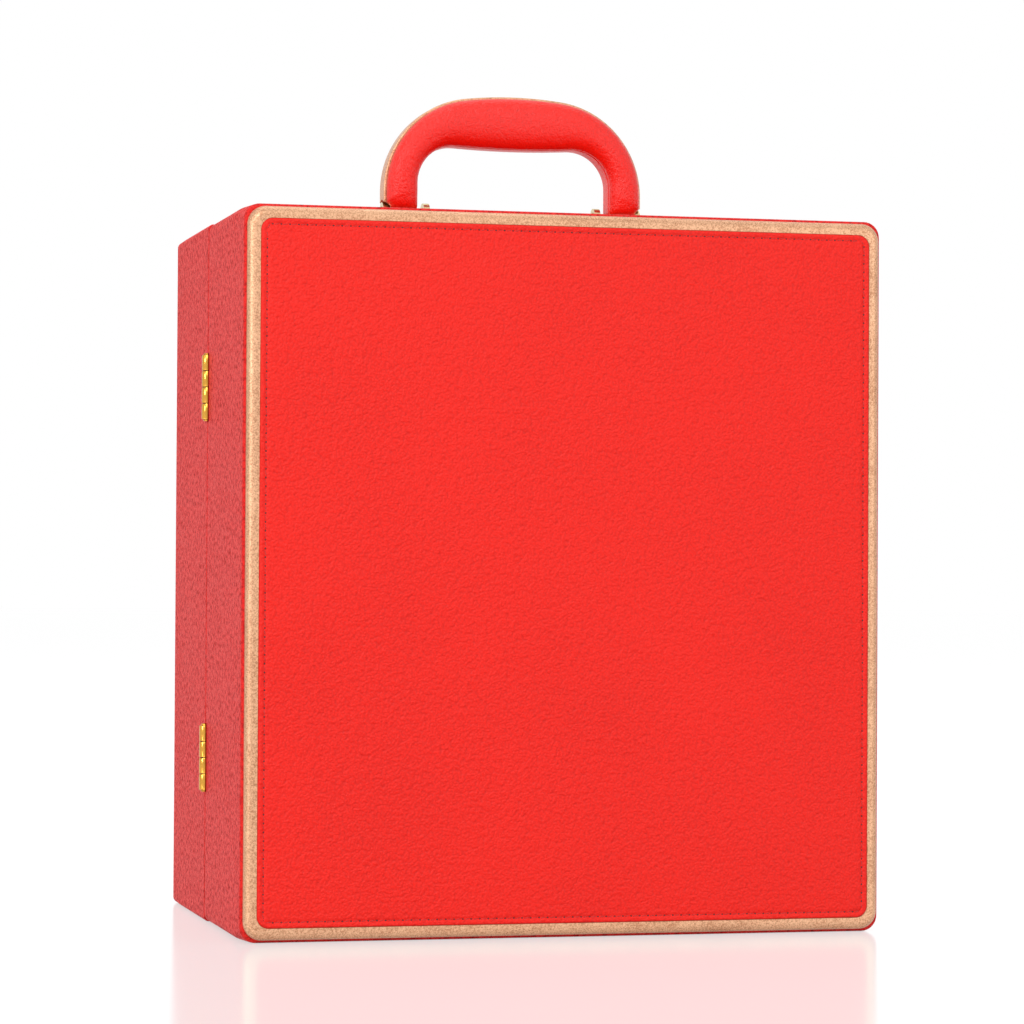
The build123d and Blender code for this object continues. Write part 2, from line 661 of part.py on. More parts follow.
def latch_knuckle(centre_z, length):
    """A barrel on the latch's axis."""
    return bar(LATCH_BARREL_RADIUS, length, (LATCH_AXIS_X, LATCH_AXIS_Y, centre_z), (0, 0, 1))


def latch_bases():
    """The plates on the front half, each with two knuckles for its hasp."""
    holes = latch_screws(SCREW_FIT)
    bases = []
    for z in LATCH_HEIGHTS:
        base = latch_plate(-LATCH_BASE_END, LATCH_AXIS_Y - LATCH_BARREL_RADIUS, z)
        for side in (-1, 1):
            middle = z + side * (LATCH_HEIGHT - LATCH_KNUCKLE) / 2
            base = base + latch_knuckle(middle, LATCH_KNUCKLE)
            base = base + block(
                LATCH_FACE_X, LATCH_AXIS_X,
                LATCH_AXIS_Y - LATCH_BARREL_RADIUS - LATCH_PLATE, LATCH_AXIS_Y,
                middle - LATCH_KNUCKLE / 2, middle + LATCH_KNUCKLE / 2,
            )
        bore = bar(LATCH_PIN_RADIUS + PIN_FIT, 2 * LATCH_HEIGHT, (LATCH_AXIS_X, LATCH_AXIS_Y, z), (0, 0, 1))
        bases.append(base - bore - holes)
    return bases


def latch_hasp(centre_z):
    """The swinging hasp: a knuckle, a slotted plate across the seam and a thumb lip."""
    half_knuckle = LATCH_HEIGHT / 2 - LATCH_KNUCKLE - LATCH_KNUCKLE_GAP
    low = centre_z - HASP_HALF_WIDTH
    high = centre_z + HASP_HALF_WIDTH
    start = LATCH_AXIS_Y + LATCH_BARREL_RADIUS + LATCH_KNUCKLE_GAP
    plate = block(HASP_X, HASP_OUTER_X, start, HASP_END, low, high)
    tips = plate.faces().sort_by(Axis.Y)[-1].edges().filter_by(Axis.X)
    plate = fillet(tips, LATCH_CORNER)
    neck = block(
        HASP_X, HASP_OUTER_X, LATCH_AXIS_Y, start + LATCH_KNUCKLE_GAP, centre_z - half_knuckle, centre_z + half_knuckle
    )
    lip = block(
        HASP_X, HASP_OUTER_X + HASP_LIP_HEIGHT, HASP_END - HASP_LIP_LENGTH, HASP_END,
        low + LATCH_CORNER, high - LATCH_CORNER,
    )
    slot = block(
        HASP_X - 1, HASP_OUTER_X + HASP_LIP_HEIGHT + 1, HASP_SLOT_START, HASP_SLOT_END,
        centre_z - HASP_SLOT_HALF_WIDTH, centre_z + HASP_SLOT_HALF_WIDTH,
    )
    bore = bar(LATCH_PIN_RADIUS + PIN_FIT, LATCH_HEIGHT, (LATCH_AXIS_X, LATCH_AXIS_Y, centre_z), (0, 0, 1))
    return plate + latch_knuckle(centre_z, 2 * half_knuckle) + neck + lip - slot - bore


def latch_pins():
    """The hinge pins of both latches."""
    return [
        bar(LATCH_PIN_RADIUS, LATCH_HEIGHT, (LATCH_AXIS_X, LATCH_AXIS_Y, z), (0, 0, 1))
        for z in LATCH_HEIGHTS
    ]


def latch_catches():
    """The plates on the rear half, each with a rounded lug that fills the hasp's slot."""
    holes = [to_rear(screw) for screw in latch_screws(SCREW_FIT)]
    catches = []
    for z in LATCH_HEIGHTS:
        half = HASP_SLOT_HALF_WIDTH - SLOT_CLEARANCE
        lug = block(
            LATCH_FACE_X, HASP_OUTER_X + HASP_LIP_HEIGHT,
            HASP_SLOT_START + SLOT_CLEARANCE, HASP_SLOT_END - SLOT_CLEARANCE,
            z - half, z + half,
        )
        lug = fillet(lug.faces().sort_by(Axis.X)[-1].edges(), LUG_ROUND)
        catches.append(latch_plate(CATCH_START, CATCH_END, z) + lug - holes)
    return catches


def front_half():
    """Every fixed piece of the front half that the rear half repeats."""
    pieces = carcass_boards()
    pieces.update(leather_skin())
    pieces["trim_board"] = trim_board()
    pieces["panel"] = padded_panel()
    pieces["lining"] = lining()
    pieces["dividers"] = dividers()
    pieces["body_rests"] = bottle_rests(
        BOTTLE_RADIUS + BOTTLE_CLEARANCE, -BODY_REST_RISE, BODY_REST_CENTRE, BODY_REST_HEIGHT
    )
    pieces["neck_rests"] = bottle_rests(
        NECK_DIAMETER / 2 + NECK_CLEARANCE, NECK_REST_RISE, NECK_REST_CENTRE, NECK_REST_HEIGHT
    )
    pieces["bottle_strap"] = bottle_strap()
    pieces["strap_tab"] = strap_tab()
    pieces["strap_snap"] = snap_fastener()
    pieces["strap_screws"] = strap_screws()
    pieces["hinge_screws"] = hinge_screws()
    pieces["latch_screws"] = latch_screws()
    return pieces


def as_list(piece):
    """A piece as a list of solids."""
    return list(piece) if isinstance(piece, list) else [piece]


def build_nodes():
    """All the pieces of the case, by name."""
    nodes = {}
    for name, piece in front_half().items():
        nodes["front_" + name] = as_list(piece)
        nodes["rear_" + name] = [to_rear(solid) for solid in as_list(piece)]
    for name in ("rear_top_board", "rear_leather_wrap"):
        nodes[name] = [nodes[name][0] - bracket_screws(SCREW_FIT)]
    nodes["front_hinge_leaves"] = hinge_leaves((0, 2))
    nodes["rear_hinge_leaves"] = [to_rear(leaf) for leaf in hinge_leaves((1, 3))]
    nodes["hinge_pins"] = hinge_pins()
    nodes["handle_core"] = [handle_core()]
    nodes["handle_front_pad"] = [handle_pad()]
    nodes["handle_rear_pad"] = [Pos(0, 2 * HANDLE_Y, 0) * to_rear(handle_pad())]
    nodes["handle_brackets"] = [handle_bracket(side) for side in (-1, 1)]
    nodes["handle_pins"] = handle_pins()
    nodes["handle_spacers"] = handle_spacers()
    nodes["bracket_screws"] = bracket_screws()
    nodes["latch_bases"] = latch_bases()
    nodes["lower_latch_hasp"] = [latch_hasp(LATCH_HEIGHTS[0])]
    nodes["upper_latch_hasp"] = [latch_hasp(LATCH_HEIGHTS[1])]
    nodes["latch_pins"] = latch_pins()
    nodes["latch_catches"] = latch_catches()
    return nodes


os.makedirs("parts", exist_ok=True)
for node_name, shapes in build_nodes().items():
    solids = [solid for shape in shapes for solid in shape.solids()]
    export_step(Compound(solids), "parts/" + node_name + ".step")
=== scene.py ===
import json
import math

import bmesh
import bpy
from mathutils import Matrix, Vector


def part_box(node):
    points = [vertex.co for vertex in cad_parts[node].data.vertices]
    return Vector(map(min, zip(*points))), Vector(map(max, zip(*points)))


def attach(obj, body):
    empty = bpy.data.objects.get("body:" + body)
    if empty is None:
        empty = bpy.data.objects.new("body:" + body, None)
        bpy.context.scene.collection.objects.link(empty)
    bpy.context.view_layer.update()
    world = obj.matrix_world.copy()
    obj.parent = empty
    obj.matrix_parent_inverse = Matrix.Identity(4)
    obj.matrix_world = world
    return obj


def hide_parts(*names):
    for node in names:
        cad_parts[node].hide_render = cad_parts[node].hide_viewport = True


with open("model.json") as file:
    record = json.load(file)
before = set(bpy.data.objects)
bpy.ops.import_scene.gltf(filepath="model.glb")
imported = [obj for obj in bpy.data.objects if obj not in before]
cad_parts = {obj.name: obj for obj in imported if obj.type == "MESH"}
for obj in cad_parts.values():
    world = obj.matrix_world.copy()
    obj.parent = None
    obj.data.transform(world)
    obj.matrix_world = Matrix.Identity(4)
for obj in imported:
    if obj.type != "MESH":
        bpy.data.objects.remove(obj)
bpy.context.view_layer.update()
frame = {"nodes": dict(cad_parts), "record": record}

MM = 0.001

# Camera, solved from the edges of the case in the photograph
CAMERA_PLACE = (-0.4473, -1.8002, 0.1807)
CAMERA_YAW = 0.24285
CAMERA_PITCH = 0.01720
CAMERA_ROLL = 0.00553
CAMERA_LENS = 123.68
CAMERA_SENSOR = 36.0

# Colours, as they reflect in linear light
RED = (0.96, 0.012, 0.004)
# Dark end of the leather's tone: random tone, and painted shade in the valleys of its grain
RED_DEEP_AND_SHADE = (0.66, 0.006, 0.003)
# A darker copy of the red for the leather over the sides, top and bottom: painted shade
WRAP_RED_SHADED = (0.86, 0.011, 0.006)
# Colour of the pits in the leather over the sides: painted shade
RED_PIT_SHADE = (0.36, 0.005, 0.007)
RED_THREAD = (0.80, 0.03, 0.025)
# Colour of the dark capsules on needle holes and screw cross recesses: painted shade
HOLE_SHADE_COLOUR = (0.05, 0.002, 0.002)
CHAMPAGNE = (0.80, 0.46, 0.27)
CHAMPAGNE_DARK = (0.44, 0.19, 0.09)
GILT = (0.66, 0.33, 0.055)
# Dark end of the gilt's colour: painted shade in crevices and painted dark reflections
GILT_SHADE_AND_REFLECTION = (0.10, 0.03, 0.005)
PALE_GILT = (0.72, 0.58, 0.32)
# Dark end of the pale gilt's colour: painted shade in crevices and painted dark reflections
PALE_GILT_SHADE_AND_REFLECTION = (0.22, 0.15, 0.06)
BOARD_BROWN = (0.45, 0.31, 0.19)
VELVET = (0.016, 0.012, 0.013)
STRAP_RED = (0.62, 0.014, 0.01)

# Height of the leather's creases against its pebbles, and the noise value at which pits begin
CREASE_HEIGHT = 2.6
PIT_START = 0.34

# Leather over each half, in millimetres. Its long edges are tighter than its corners
# on the large face, which follow the trim.
CASE_WIDTH = 327.0
CASE_TOP = 360.0
HALF_DEPTH = 110.0
LONG_EDGE_RADIUS = {"front": 4.5, "rear": 2.6}
FACE_CORNER_RADIUS = {"front": 8.2, "rear": 3.2}
CORNER_CHANGE_START = 88.0
FACE_ROUND = 1.8
SEAM_ROUND = 1.6
SEAM_HALF_GAP = 0.04
SKIN_THICKNESS = 1.0
SHARP_CORNER = 0.3
FACE_LAP = 12.0
RIM_MIDDLE = 6.0
WALL = 10.0
ROUND_STEPS = 6
SIDE_STEPS = 24
LOOP_TURNS = 9
LOOP_STRAIGHTS = 14

# Angles in degrees from which a piece's edges stay sharp
SKIN_SHARP = 35
HINGE_SHARP = 40
STRAP_SHARP = 50
REST_SHARP = 60

# Hinges, in millimetres
HINGE_X = -163.8
HINGE_HEIGHTS = (84.5, 275.5)
HINGE_HEIGHT = 33.5
KNUCKLES = 4
BARREL_RADIUS = 2.85
NOTCH_RADIUS = 3.2
LEAF_END_X = -154.0
PIN_HEAD = 0.8
PIN_BORE = 1.45
KNUCKLE_GAP = 0.16
KNUCKLE_EASE = 0.45
KNUCKLE_BEVEL = (0.12, 0.15)
KNUCKLE_SIDES = 36
NOTCH_PLAY = 0.35
NOTCH_SIDES = 32
WINDOW_DEPTH = 1.25
WINDOW_OVERCUT = 0.5
WINDOW_PLAY = 0.1

# Outlines of a leaf and of the web to its knuckles, as distances from the hinge's axis and the seam
LEAF_SECTION = (
    (3.25, 0.22), (LEAF_END_X - 0.15 - HINGE_X, 0.22), (LEAF_END_X - HINGE_X, 0.37),
    (LEAF_END_X - HINGE_X, 1.18), (3.25, 1.18),
)
WEB_SECTION = ((1.6, 0.25), (3.5, 0.25), (3.5, 1.15), (1.6, 1.6))

# Panel relief, in millimetres
PANEL_CORNER = 5.9
PANEL_EDGE_ROUND = 1.1
STITCH_INSET = 3.0
STITCH_PITCH = 4.3
STITCH_DIP = 0.42
STITCH_DIP_WIDTH = 0.75
PANEL_CROWN = 0.45
PANEL_CROWN_REACH = 30.0
PANEL_POINT_STEP = 7.0
PANEL_CORNER_TURNS = 10
PANEL_LEAST_CORNER = 0.4
PANEL_ROWS = (
    0.0, 0.12, 0.3, 0.55, 0.8, 1.1, 1.6, 2.1, 2.4, 2.7, 3.0, 3.3, 3.6, 3.9, 4.4,
    5.2, 7, 10, 14, 19, 25, 33, 50, 75, 105, 135,
)

# Threads, and needle holes drawn as dark capsules of painted shade, in millimetres, with the slant in
# degrees
THREAD_SLANT = 13
THREAD_SHARE = 0.66
THREAD_RADIUS = 0.30
THREAD_FLATNESS = 0.7
THREAD_LIFT = 0.02
THREAD_TIP = 0.15
THREAD_STEPS = 6
THREAD_SIDES = 8
STITCH_POINT_STEP = 2.0
HOLE_LENGTH = 0.95
HOLE_RADIUS = 0.36
HOLE_FLATNESS = 0.25
HOLE_LIFT = 0.03

# Handle, in millimetres, with heights from the case's top
HANDLE_Y = 12.0
CORE_HALF_DEPTH = 5.5
PAD_DEPTH = 8.0
PAD_OUTER_HALF_WIDTH = 68.8
PAD_TOP = 71.5
SHOULDER_RADIUS = 48.8
CROWN_RADIUS = 211.9
OPENING_HALF_WIDTH = 52.2
OPENING_TOP = 44.6
OPENING_CORNER = 20.0
BELLY_RADIUS = 500.0
PAD_FOOT = 11.5
PAD_FOOT_ROUND = 7.0
SCALLOP_CENTRE = (72.0, 10.0)
SCALLOP_RADIUS = 5.8
PAD_SECTION_POWER = 2.35
PAD_TUCK = 1.1
PAD_TUCK_DEPTH = 1.6
PAD_FOOT_SHARE = 0.42
PAD_EDGE_HEIGHT = 0.1
REAR_PAD_SETBACK = 2.5
LINER_THICKNESS = 0.7
LINER_LAP = REAR_PAD_SETBACK + 0.6
LEG_STATIONS = 8
SCALLOP_STATIONS = 4
CORNER_STATIONS = 18
TOP_STATIONS = 14
PAD_STEPS = 28

# Bottle rests, in millimetres
REST_BACK_Y = 98.5
BOTTLE_AXIS_Y = 53.5
BAY_CENTRES = (-104.0, 0.0, 104.0)
REST_HALF_WIDTH = 47.9
REST_EDGE = 2.6
REST_EDGE_STEPS = 5
REST_LIP = 3.0
REST_LIP_STEPS = 4
REST_CUT_STEPS = 22
REST_BOTTOM_STEPS = 20
BODY_REST = {"notch_radius": 40.5, "front": 61.5, "centre": 45.0, "height": 30.0}
NECK_REST = {"notch_radius": 16.5, "front": 43.5, "centre": 262.0, "height": 24.0}

# Straps, in millimetres
STRAP_CENTRE = 155.0
STRAP_WIDTH = 26.0
STRAP_THICKNESS = 2.2
STRAP_BEND = 6.0
LINED_HALF_WIDTH = 152.0
STRAP_WALL_END = 38.4
STRAP_FRONT = 8.4
TAB_FRONT = 10.7
STRAP_TIP_X = 138.0
TAB_TIP_X = 104.0
STRAP_EASE = 0.7
STRAP_CHAMFER = 0.2
STRAP_TIP_HALF_WIDTH = 0.8
STRAP_WALL_STEPS = 8
STRAP_BEND_STEPS = 10
STRAP_RUN_STEPS = 60
STRAP_STITCH_PITCH = 4.0
STRAP_STITCH_INSET = 2.4
STRAP_STITCH_LENGTH = 2.9
STRAP_THREAD_RADIUS = 0.32

# Latch screws, in millimetres
LATCH_FACE = 164.4
LATCH_SCREW_DEPTH = 20.5
LATCH_SCREW_STEP = 6.5
LATCH_CROSS_SIZE = 1.9
CROSS_ARM_LENGTH = 1.25 * LATCH_CROSS_SIZE
CROSS_ARM_RADIUS = 0.16 * LATCH_CROSS_SIZE
CROSS_FLATNESS = 0.2

# Pieces in the paler gilt of the handle's fixings
PALE_NODES = ("handle_brackets", "handle_pins", "handle_spacers", "bracket_screws")

# Studio
WORLD_LIGHT = 0.55
FLOOR_GLOW = 1.04
FLOOR_WHITE = 0.26
FLOOR_MIRROR = 0.44
FLOOR_MIRROR_ROUGHNESS = 0.16
FLOOR_REACH = 14.0
FLOOR_DROP = 0.0002

# Lamps, each with its place, its target, its size in metres and its power in watts
LAMPS = {
    "key": ((-1.3, -2.6, 2.0), (0, 0, 0.2), 1.6, 39),
    "side": ((-2.4, -1.2, 0.75), (0, 0, 0.35), 0.45, 15),
    "fill": ((1.9, -2.4, 1.0), (0, 0, 0.2), 1.8, 16),
    "top": ((0.0, 0.4, 2.6), (0, 0, 0.3), 1.6, 8),
}


def new_material(name):
    """An empty node material with its Principled shader."""
    material = bpy.data.materials.new(name)
    material.use_nodes = True
    shader = material.node_tree.nodes["Principled BSDF"]
    return material, material.node_tree, shader


def object_coordinates(tree):
    """The object's own coordinates, which are metres in the case's frame."""
    return tree.nodes.new("ShaderNodeTexCoord").outputs["Object"]


def noise(tree, coordinates, scale, detail=2.0, roughness=0.5):
    """A noise texture's value."""
    node = tree.nodes.new("ShaderNodeTexNoise")
    node.inputs["Scale"].default_value = scale
    node.inputs["Detail"].default_value = detail
    node.inputs["Roughness"].default_value = roughness
    tree.links.new(coordinates, node.inputs["Vector"])
    return node.outputs["Fac"]


def cells(tree, coordinates, scale, smoothness=0.5):
    """A smooth cell texture's distance, for pebbled grain."""
    node = tree.nodes.new("ShaderNodeTexVoronoi")
    node.feature = "SMOOTH_F1"
    node.inputs["Scale"].default_value = scale
    node.inputs["Smoothness"].default_value = smoothness
    tree.links.new(coordinates, node.inputs["Vector"])
    return node.outputs["Distance"]


def ramp(tree, value, stops):
    """A colour ramp over a value, with stops of (position, colour)."""
    node = tree.nodes.new("ShaderNodeValToRGB")
    elements = node.color_ramp.elements
    for index, (position, colour) in enumerate(stops):
        element = elements[index] if index < 2 else elements.new(position)
        element.position = position
        element.color = (*colour, 1.0)
    tree.links.new(value, node.inputs["Fac"])
    return node.outputs["Color"]


def combine(tree, operation, first, second):
    """A maths node of two values, where the second may be a number."""
    node = tree.nodes.new("ShaderNodeMath")
    node.operation = operation
    tree.links.new(first, node.inputs[0])
    if isinstance(second, (int, float)):
        node.inputs[1].default_value = second
    else:
        tree.links.new(second, node.inputs[1])
    return node.outputs[0]


def add_bump(tree, shader, height, strength, distance):
    """Bump on the shader from a height."""
    node = tree.nodes.new("ShaderNodeBump")
    node.inputs["Strength"].default_value = strength
    node.inputs["Distance"].default_value = distance
    tree.links.new(height, node.inputs["Height"])
    tree.links.new(node.outputs["Normal"], shader.inputs["Normal"])


def pebbled_leather(
    name, colour, dark, grain=780.0, strength=0.6, roughness=0.46, specular=0.32, pits=0.0
):
    """Pebbled leather: uneven cells with fine pores, painted shade in the valleys of its grain and its
    crease hollows, and dull pits darkened with painted shade.
    """
    material, tree, shader = new_material(name)
    place = object_coordinates(tree)
    pebbles = cells(tree, place, grain, smoothness=0.35)
    pores = noise(tree, place, grain * 3.0, detail=3.0)
    creases = noise(tree, place, grain * 0.42, detail=4.0, roughness=0.62)
    drift = noise(tree, place, 14.0, detail=3.0)
    height = combine(tree, "MULTIPLY", pebbles, -1.0)
    height = combine(tree, "ADD", height, combine(tree, "MULTIPLY", pores, 0.35))
    height = combine(tree, "ADD", height, combine(tree, "MULTIPLY", creases, CREASE_HEIGHT))
    # Colour tone: painted shade and light from the relief, darker in the grain's valleys and the
    # creases' hollows and lighter on their ridges, with random drift in tone
    tone = combine(tree, "MULTIPLY", pebbles, 0.50)
    tone = combine(tree, "ADD", tone, combine(tree, "MULTIPLY", drift, 0.30))
    tone = combine(tree, "SUBTRACT", tone, combine(tree, "MULTIPLY", creases, 0.18))
    shade = ramp(tree, tone, [(0.24, colour), (0.80, dark)])
    shader.inputs["Specular IOR Level"].default_value = specular
    # Pits get a darker colour, which is painted shade, and a higher roughness, which makes them dull
    if pits > 0:
        pitted = noise(tree, place, grain * 0.55, detail=5.0, roughness=0.75)
        pit = ramp(tree, pitted, [(PIT_START, (1, 1, 1)), (PIT_START + pits, (0, 0, 0))])
        blend = tree.nodes.new("ShaderNodeMix")
        blend.data_type = "RGBA"
        tree.links.new(pit, blend.inputs["Factor"])
        tree.links.new(shade, blend.inputs["A"])
        blend.inputs["B"].default_value = (*RED_PIT_SHADE, 1.0)
        tree.links.new(blend.outputs["Result"], shader.inputs["Base Color"])
        dull = combine(tree, "MULTIPLY", pit, 0.5)
        tree.links.new(combine(tree, "ADD", dull, roughness), shader.inputs["Roughness"])
    else:
        tree.links.new(shade, shader.inputs["Base Color"])
        shader.inputs["Roughness"].default_value = roughness
    add_bump(tree, shader, height, strength, distance=0.0007)
    return material


def metallic_leather(name, colour, dark):
    """Champagne metallic leather with a sandy grain."""
    material, tree, shader = new_material(name)
    place = object_coordinates(tree)
    grit = noise(tree, place, 1300.0, detail=4.0, roughness=0.75)
    cloud = noise(tree, place, 60.0, detail=3.0)
    tone = combine(tree, "MULTIPLY", grit, 0.85)
    tone = combine(tree, "ADD", tone, combine(tree, "MULTIPLY", cloud, 0.15))
    shade = ramp(tree, tone, [(0.40, dark), (0.56, colour)])
    tree.links.new(shade, shader.inputs["Base Color"])
    shader.inputs["Metallic"].default_value = 0.55
    shader.inputs["Roughness"].default_value = 0.36
    shader.inputs["Specular IOR Level"].default_value = 0.5
    add_bump(tree, shader, grit, strength=0.4, distance=0.00025)
    return material


def plated_metal(name, colour, dark, roughness):
    """Polished plated metal, with painted shade in its crevices, and streaks along its length that bump
    it and paint dark reflections into its colour.
    """
    material, tree, shader = new_material(name)
    place = object_coordinates(tree)
    stretch = tree.nodes.new("ShaderNodeMapping")
    stretch.inputs["Scale"].default_value = (1.0, 1.0, 0.12)
    tree.links.new(place, stretch.inputs["Vector"])
    streak_and_painted_reflection = noise(tree, stretch.outputs["Vector"], 900.0, detail=3.0, roughness=0.6)
    smear = noise(tree, place, 260.0, detail=4.0, roughness=0.6)
    # Ambient occlusion darkens the colour in the crevices: painted shade
    painted_crevice_shade = tree.nodes.new("ShaderNodeAmbientOcclusion")
    painted_crevice_shade.samples = 8
    painted_crevice_shade.inputs["Distance"].default_value = 0.0016
    # The colour mixes painted dark reflections from the streaks with painted shade from the crevices
    tone = combine(tree, "MULTIPLY", streak_and_painted_reflection, 0.5)
    tone = combine(tree, "ADD", tone, combine(tree, "MULTIPLY", painted_crevice_shade.outputs["AO"], 0.62))
    tree.links.new(ramp(tree, tone, [(0.42, dark), (0.86, colour)]), shader.inputs["Base Color"])
    shader.inputs["Metallic"].default_value = 1.0
    low = combine(tree, "MULTIPLY", smear, 0.16)
    tree.links.new(combine(tree, "ADD", low, roughness), shader.inputs["Roughness"])
    add_bump(tree, shader, streak_and_painted_reflection, strength=0.10, distance=0.0002)
    return material


def velvet(name, colour):
    """Short pile velvet with a soft sheen and brushed patches."""
    material, tree, shader = new_material(name)
    place = object_coordinates(tree)
    pile = noise(tree, place, 2600.0)
    brushed = noise(tree, place, 45.0, detail=3.0)
    light = tuple(channel * 1.9 for channel in colour)
    tree.links.new(ramp(tree, brushed, [(0.35, colour), (0.7, light)]), shader.inputs["Base Color"])
    shader.inputs["Roughness"].default_value = 0.95
    shader.inputs["Specular IOR Level"].default_value = 0.1
    shader.inputs["Sheen Weight"].default_value = 0.8
    shader.inputs["Sheen Roughness"].default_value = 0.45
    shader.inputs["Sheen Tint"].default_value = (0.9, 0.35, 0.38, 1.0)
    add_bump(tree, shader, pile, strength=0.5, distance=0.0003)
    return material


def fibreboard(name, colour):
    """Plain fibreboard with its short fibres."""
    material, tree, shader = new_material(name)
    place = object_coordinates(tree)
    fibres = noise(tree, place, 700.0, detail=5.0, roughness=0.7)
    dark = tuple(channel * 0.7 for channel in colour)
    tree.links.new(ramp(tree, fibres, [(0.35, dark), (0.65, colour)]), shader.inputs["Base Color"])
    shader.inputs["Roughness"].default_value = 0.85
    add_bump(tree, shader, fibres, strength=0.3, distance=0.0002)
    return material


def waxed_thread(name, colour):
    """Sewing thread with its twist."""
    material, tree, shader = new_material(name)
    place = object_coordinates(tree)
    twist = noise(tree, place, 2500.0)
    dark = tuple(channel * 0.5 for channel in colour)
    tree.links.new(ramp(tree, twist, [(0.4, dark), (0.6, colour)]), shader.inputs["Base Color"])
    shader.inputs["Roughness"].default_value = 0.6
    add_bump(tree, shader, twist, strength=0.3, distance=0.0001)
    return material


materials = {
    "red_leather": pebbled_leather("red_leather", RED, RED_DEEP_AND_SHADE),
    # The leather over the sides is a darker copy of the red leather, which is painted shade, with
    # darkened pits
    "shaded_wrap_leather": pebbled_leather("shaded_wrap_leather", WRAP_RED_SHADED, RED_DEEP_AND_SHADE, roughness=0.50, pits=0.18),
    "pad_leather": pebbled_leather(
        "pad_leather", RED, RED_DEEP_AND_SHADE, grain=1200.0, strength=0.38, roughness=0.30, specular=0.45
    ),
    "strap_leather": pebbled_leather("strap_leather", STRAP_RED, RED_DEEP_AND_SHADE, grain=1500.0, strength=0.3),
    "gold_leather": metallic_leather("gold_leather", CHAMPAGNE, CHAMPAGNE_DARK),
    "gilt_metal": plated_metal("gilt_metal", GILT, GILT_SHADE_AND_REFLECTION, 0.10),
    "pale_gilt": plated_metal("pale_gilt", PALE_GILT, PALE_GILT_SHADE_AND_REFLECTION, 0.14),
    "velvet": velvet("velvet", VELVET),
    "carcass_board": fibreboard("carcass_board", BOARD_BROWN),
    "thread": waxed_thread("thread", RED_THREAD),
    # Material of the dark capsules on needle holes and screw recesses: painted shade
    "painted_hole_shade": waxed_thread("painted_hole_shade", HOLE_SHADE_COLOUR),
}


def finish_mesh(mesh, name, material, body):
    """A new piece from a bmesh, with its material and body."""
    data = bpy.data.meshes.new(name)
    bmesh.ops.recalc_face_normals(mesh, faces=mesh.faces)
    mesh.to_mesh(data)
    mesh.free()
    piece = bpy.data.objects.new(name, data)
    bpy.context.scene.collection.objects.link(piece)
    data.materials.append(materials[material])
    for polygon in data.polygons:
        polygon.use_smooth = True
    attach(piece, body)
    return piece


def skin_rings(mesh, rings, capped=True):
    """Joins closed rings of points into faces, with a face over each end."""
    rows = [[mesh.verts.new(Vector(point) * MM) for point in ring] for ring in rings]
    count = len(rows[0])
    for low, high in zip(rows[:-1], rows[1:]):
        for index in range(count):
            after = (index + 1) % count
            mesh.faces.new((low[index], low[after], high[after], high[index]))
    if capped:
        mesh.faces.new(list(reversed(rows[0])))
        mesh.faces.new(rows[-1])


def arc_points(centre, radius, start, end, count):
    """Points along an arc, by angle in degrees."""
    points = []
    for index in range(count + 1):
        angle = math.radians(start + (end - start) * index / count)
        points.append((centre[0] + radius * math.cos(angle), centre[1] + radius * math.sin(angle)))
    return points


def line_points(start, end, count):
    """Points along a straight line."""
    return [
        (start[0] + (end[0] - start[0]) * index / count, start[1] + (end[1] - start[1]) * index / count)
        for index in range(count + 1)
    ]


def rounded_corners(half_width, half_height, corner, turns):
    """The four corner arcs of a rounded rectangle, from its upper right corner round by its left."""
    corners = []
    for quarter, (sign_x, sign_z) in enumerate(((1, 1), (-1, 1), (-1, -1), (1, -1))):
        centre = (sign_x * (half_width - corner), sign_z * (half_height - corner))
        corners.append(arc_points(centre, corner, 90 * quarter, 90 * quarter + 90, turns))
    return corners


def stepped_loop(half_width, half_height, corner, step):
    """Points round a rounded rectangle, with its straights divided into steps of about one length."""
    corners = rounded_corners(half_width, half_height, corner, PANEL_CORNER_TURNS)
    points = []
    for quarter in range(4):
        straight = 2 * ((half_width if quarter % 2 == 0 else half_height) - corner)
        pieces = max(1, int(straight / step))
        after = corners[(quarter + 1) % 4]
        points += corners[quarter]
        points += line_points(corners[quarter][-1], after[0], pieces)[1:-1]
    return points


def ring_loop(half_width, half_height, corner, y, centre_z):
    """A closed loop round a rounded rectangle, always with the same number of points."""
    corner = max(corner, SHARP_CORNER)
    corners = rounded_corners(half_width, half_height, corner, LOOP_TURNS)
    points = []
    for quarter in range(4):
        after = corners[(quarter + 1) % 4]
        points += corners[quarter]
        points += line_points(corners[quarter][-1], after[0], LOOP_STRAIGHTS)[1:-1]
    return [(x, y, centre_z + z) for x, z in points]


def panel_height(inset, thickness):
    """Height of the padded panel's leather above its seat, by distance in from the edge."""
    if inset < PANEL_EDGE_ROUND:
        fall = PANEL_EDGE_ROUND - math.sqrt(PANEL_EDGE_ROUND**2 - (PANEL_EDGE_ROUND - inset) ** 2)
    else:
        fall = 0.0
    dip = STITCH_DIP * math.exp(-(((inset - STITCH_INSET) / STITCH_DIP_WIDTH) ** 2))
    share = min(1.0, max(0.0, (inset - STITCH_INSET) / PANEL_CROWN_REACH))
    crown = PANEL_CROWN * math.sin(share * math.pi / 2)
    return thickness - fall - dip + crown


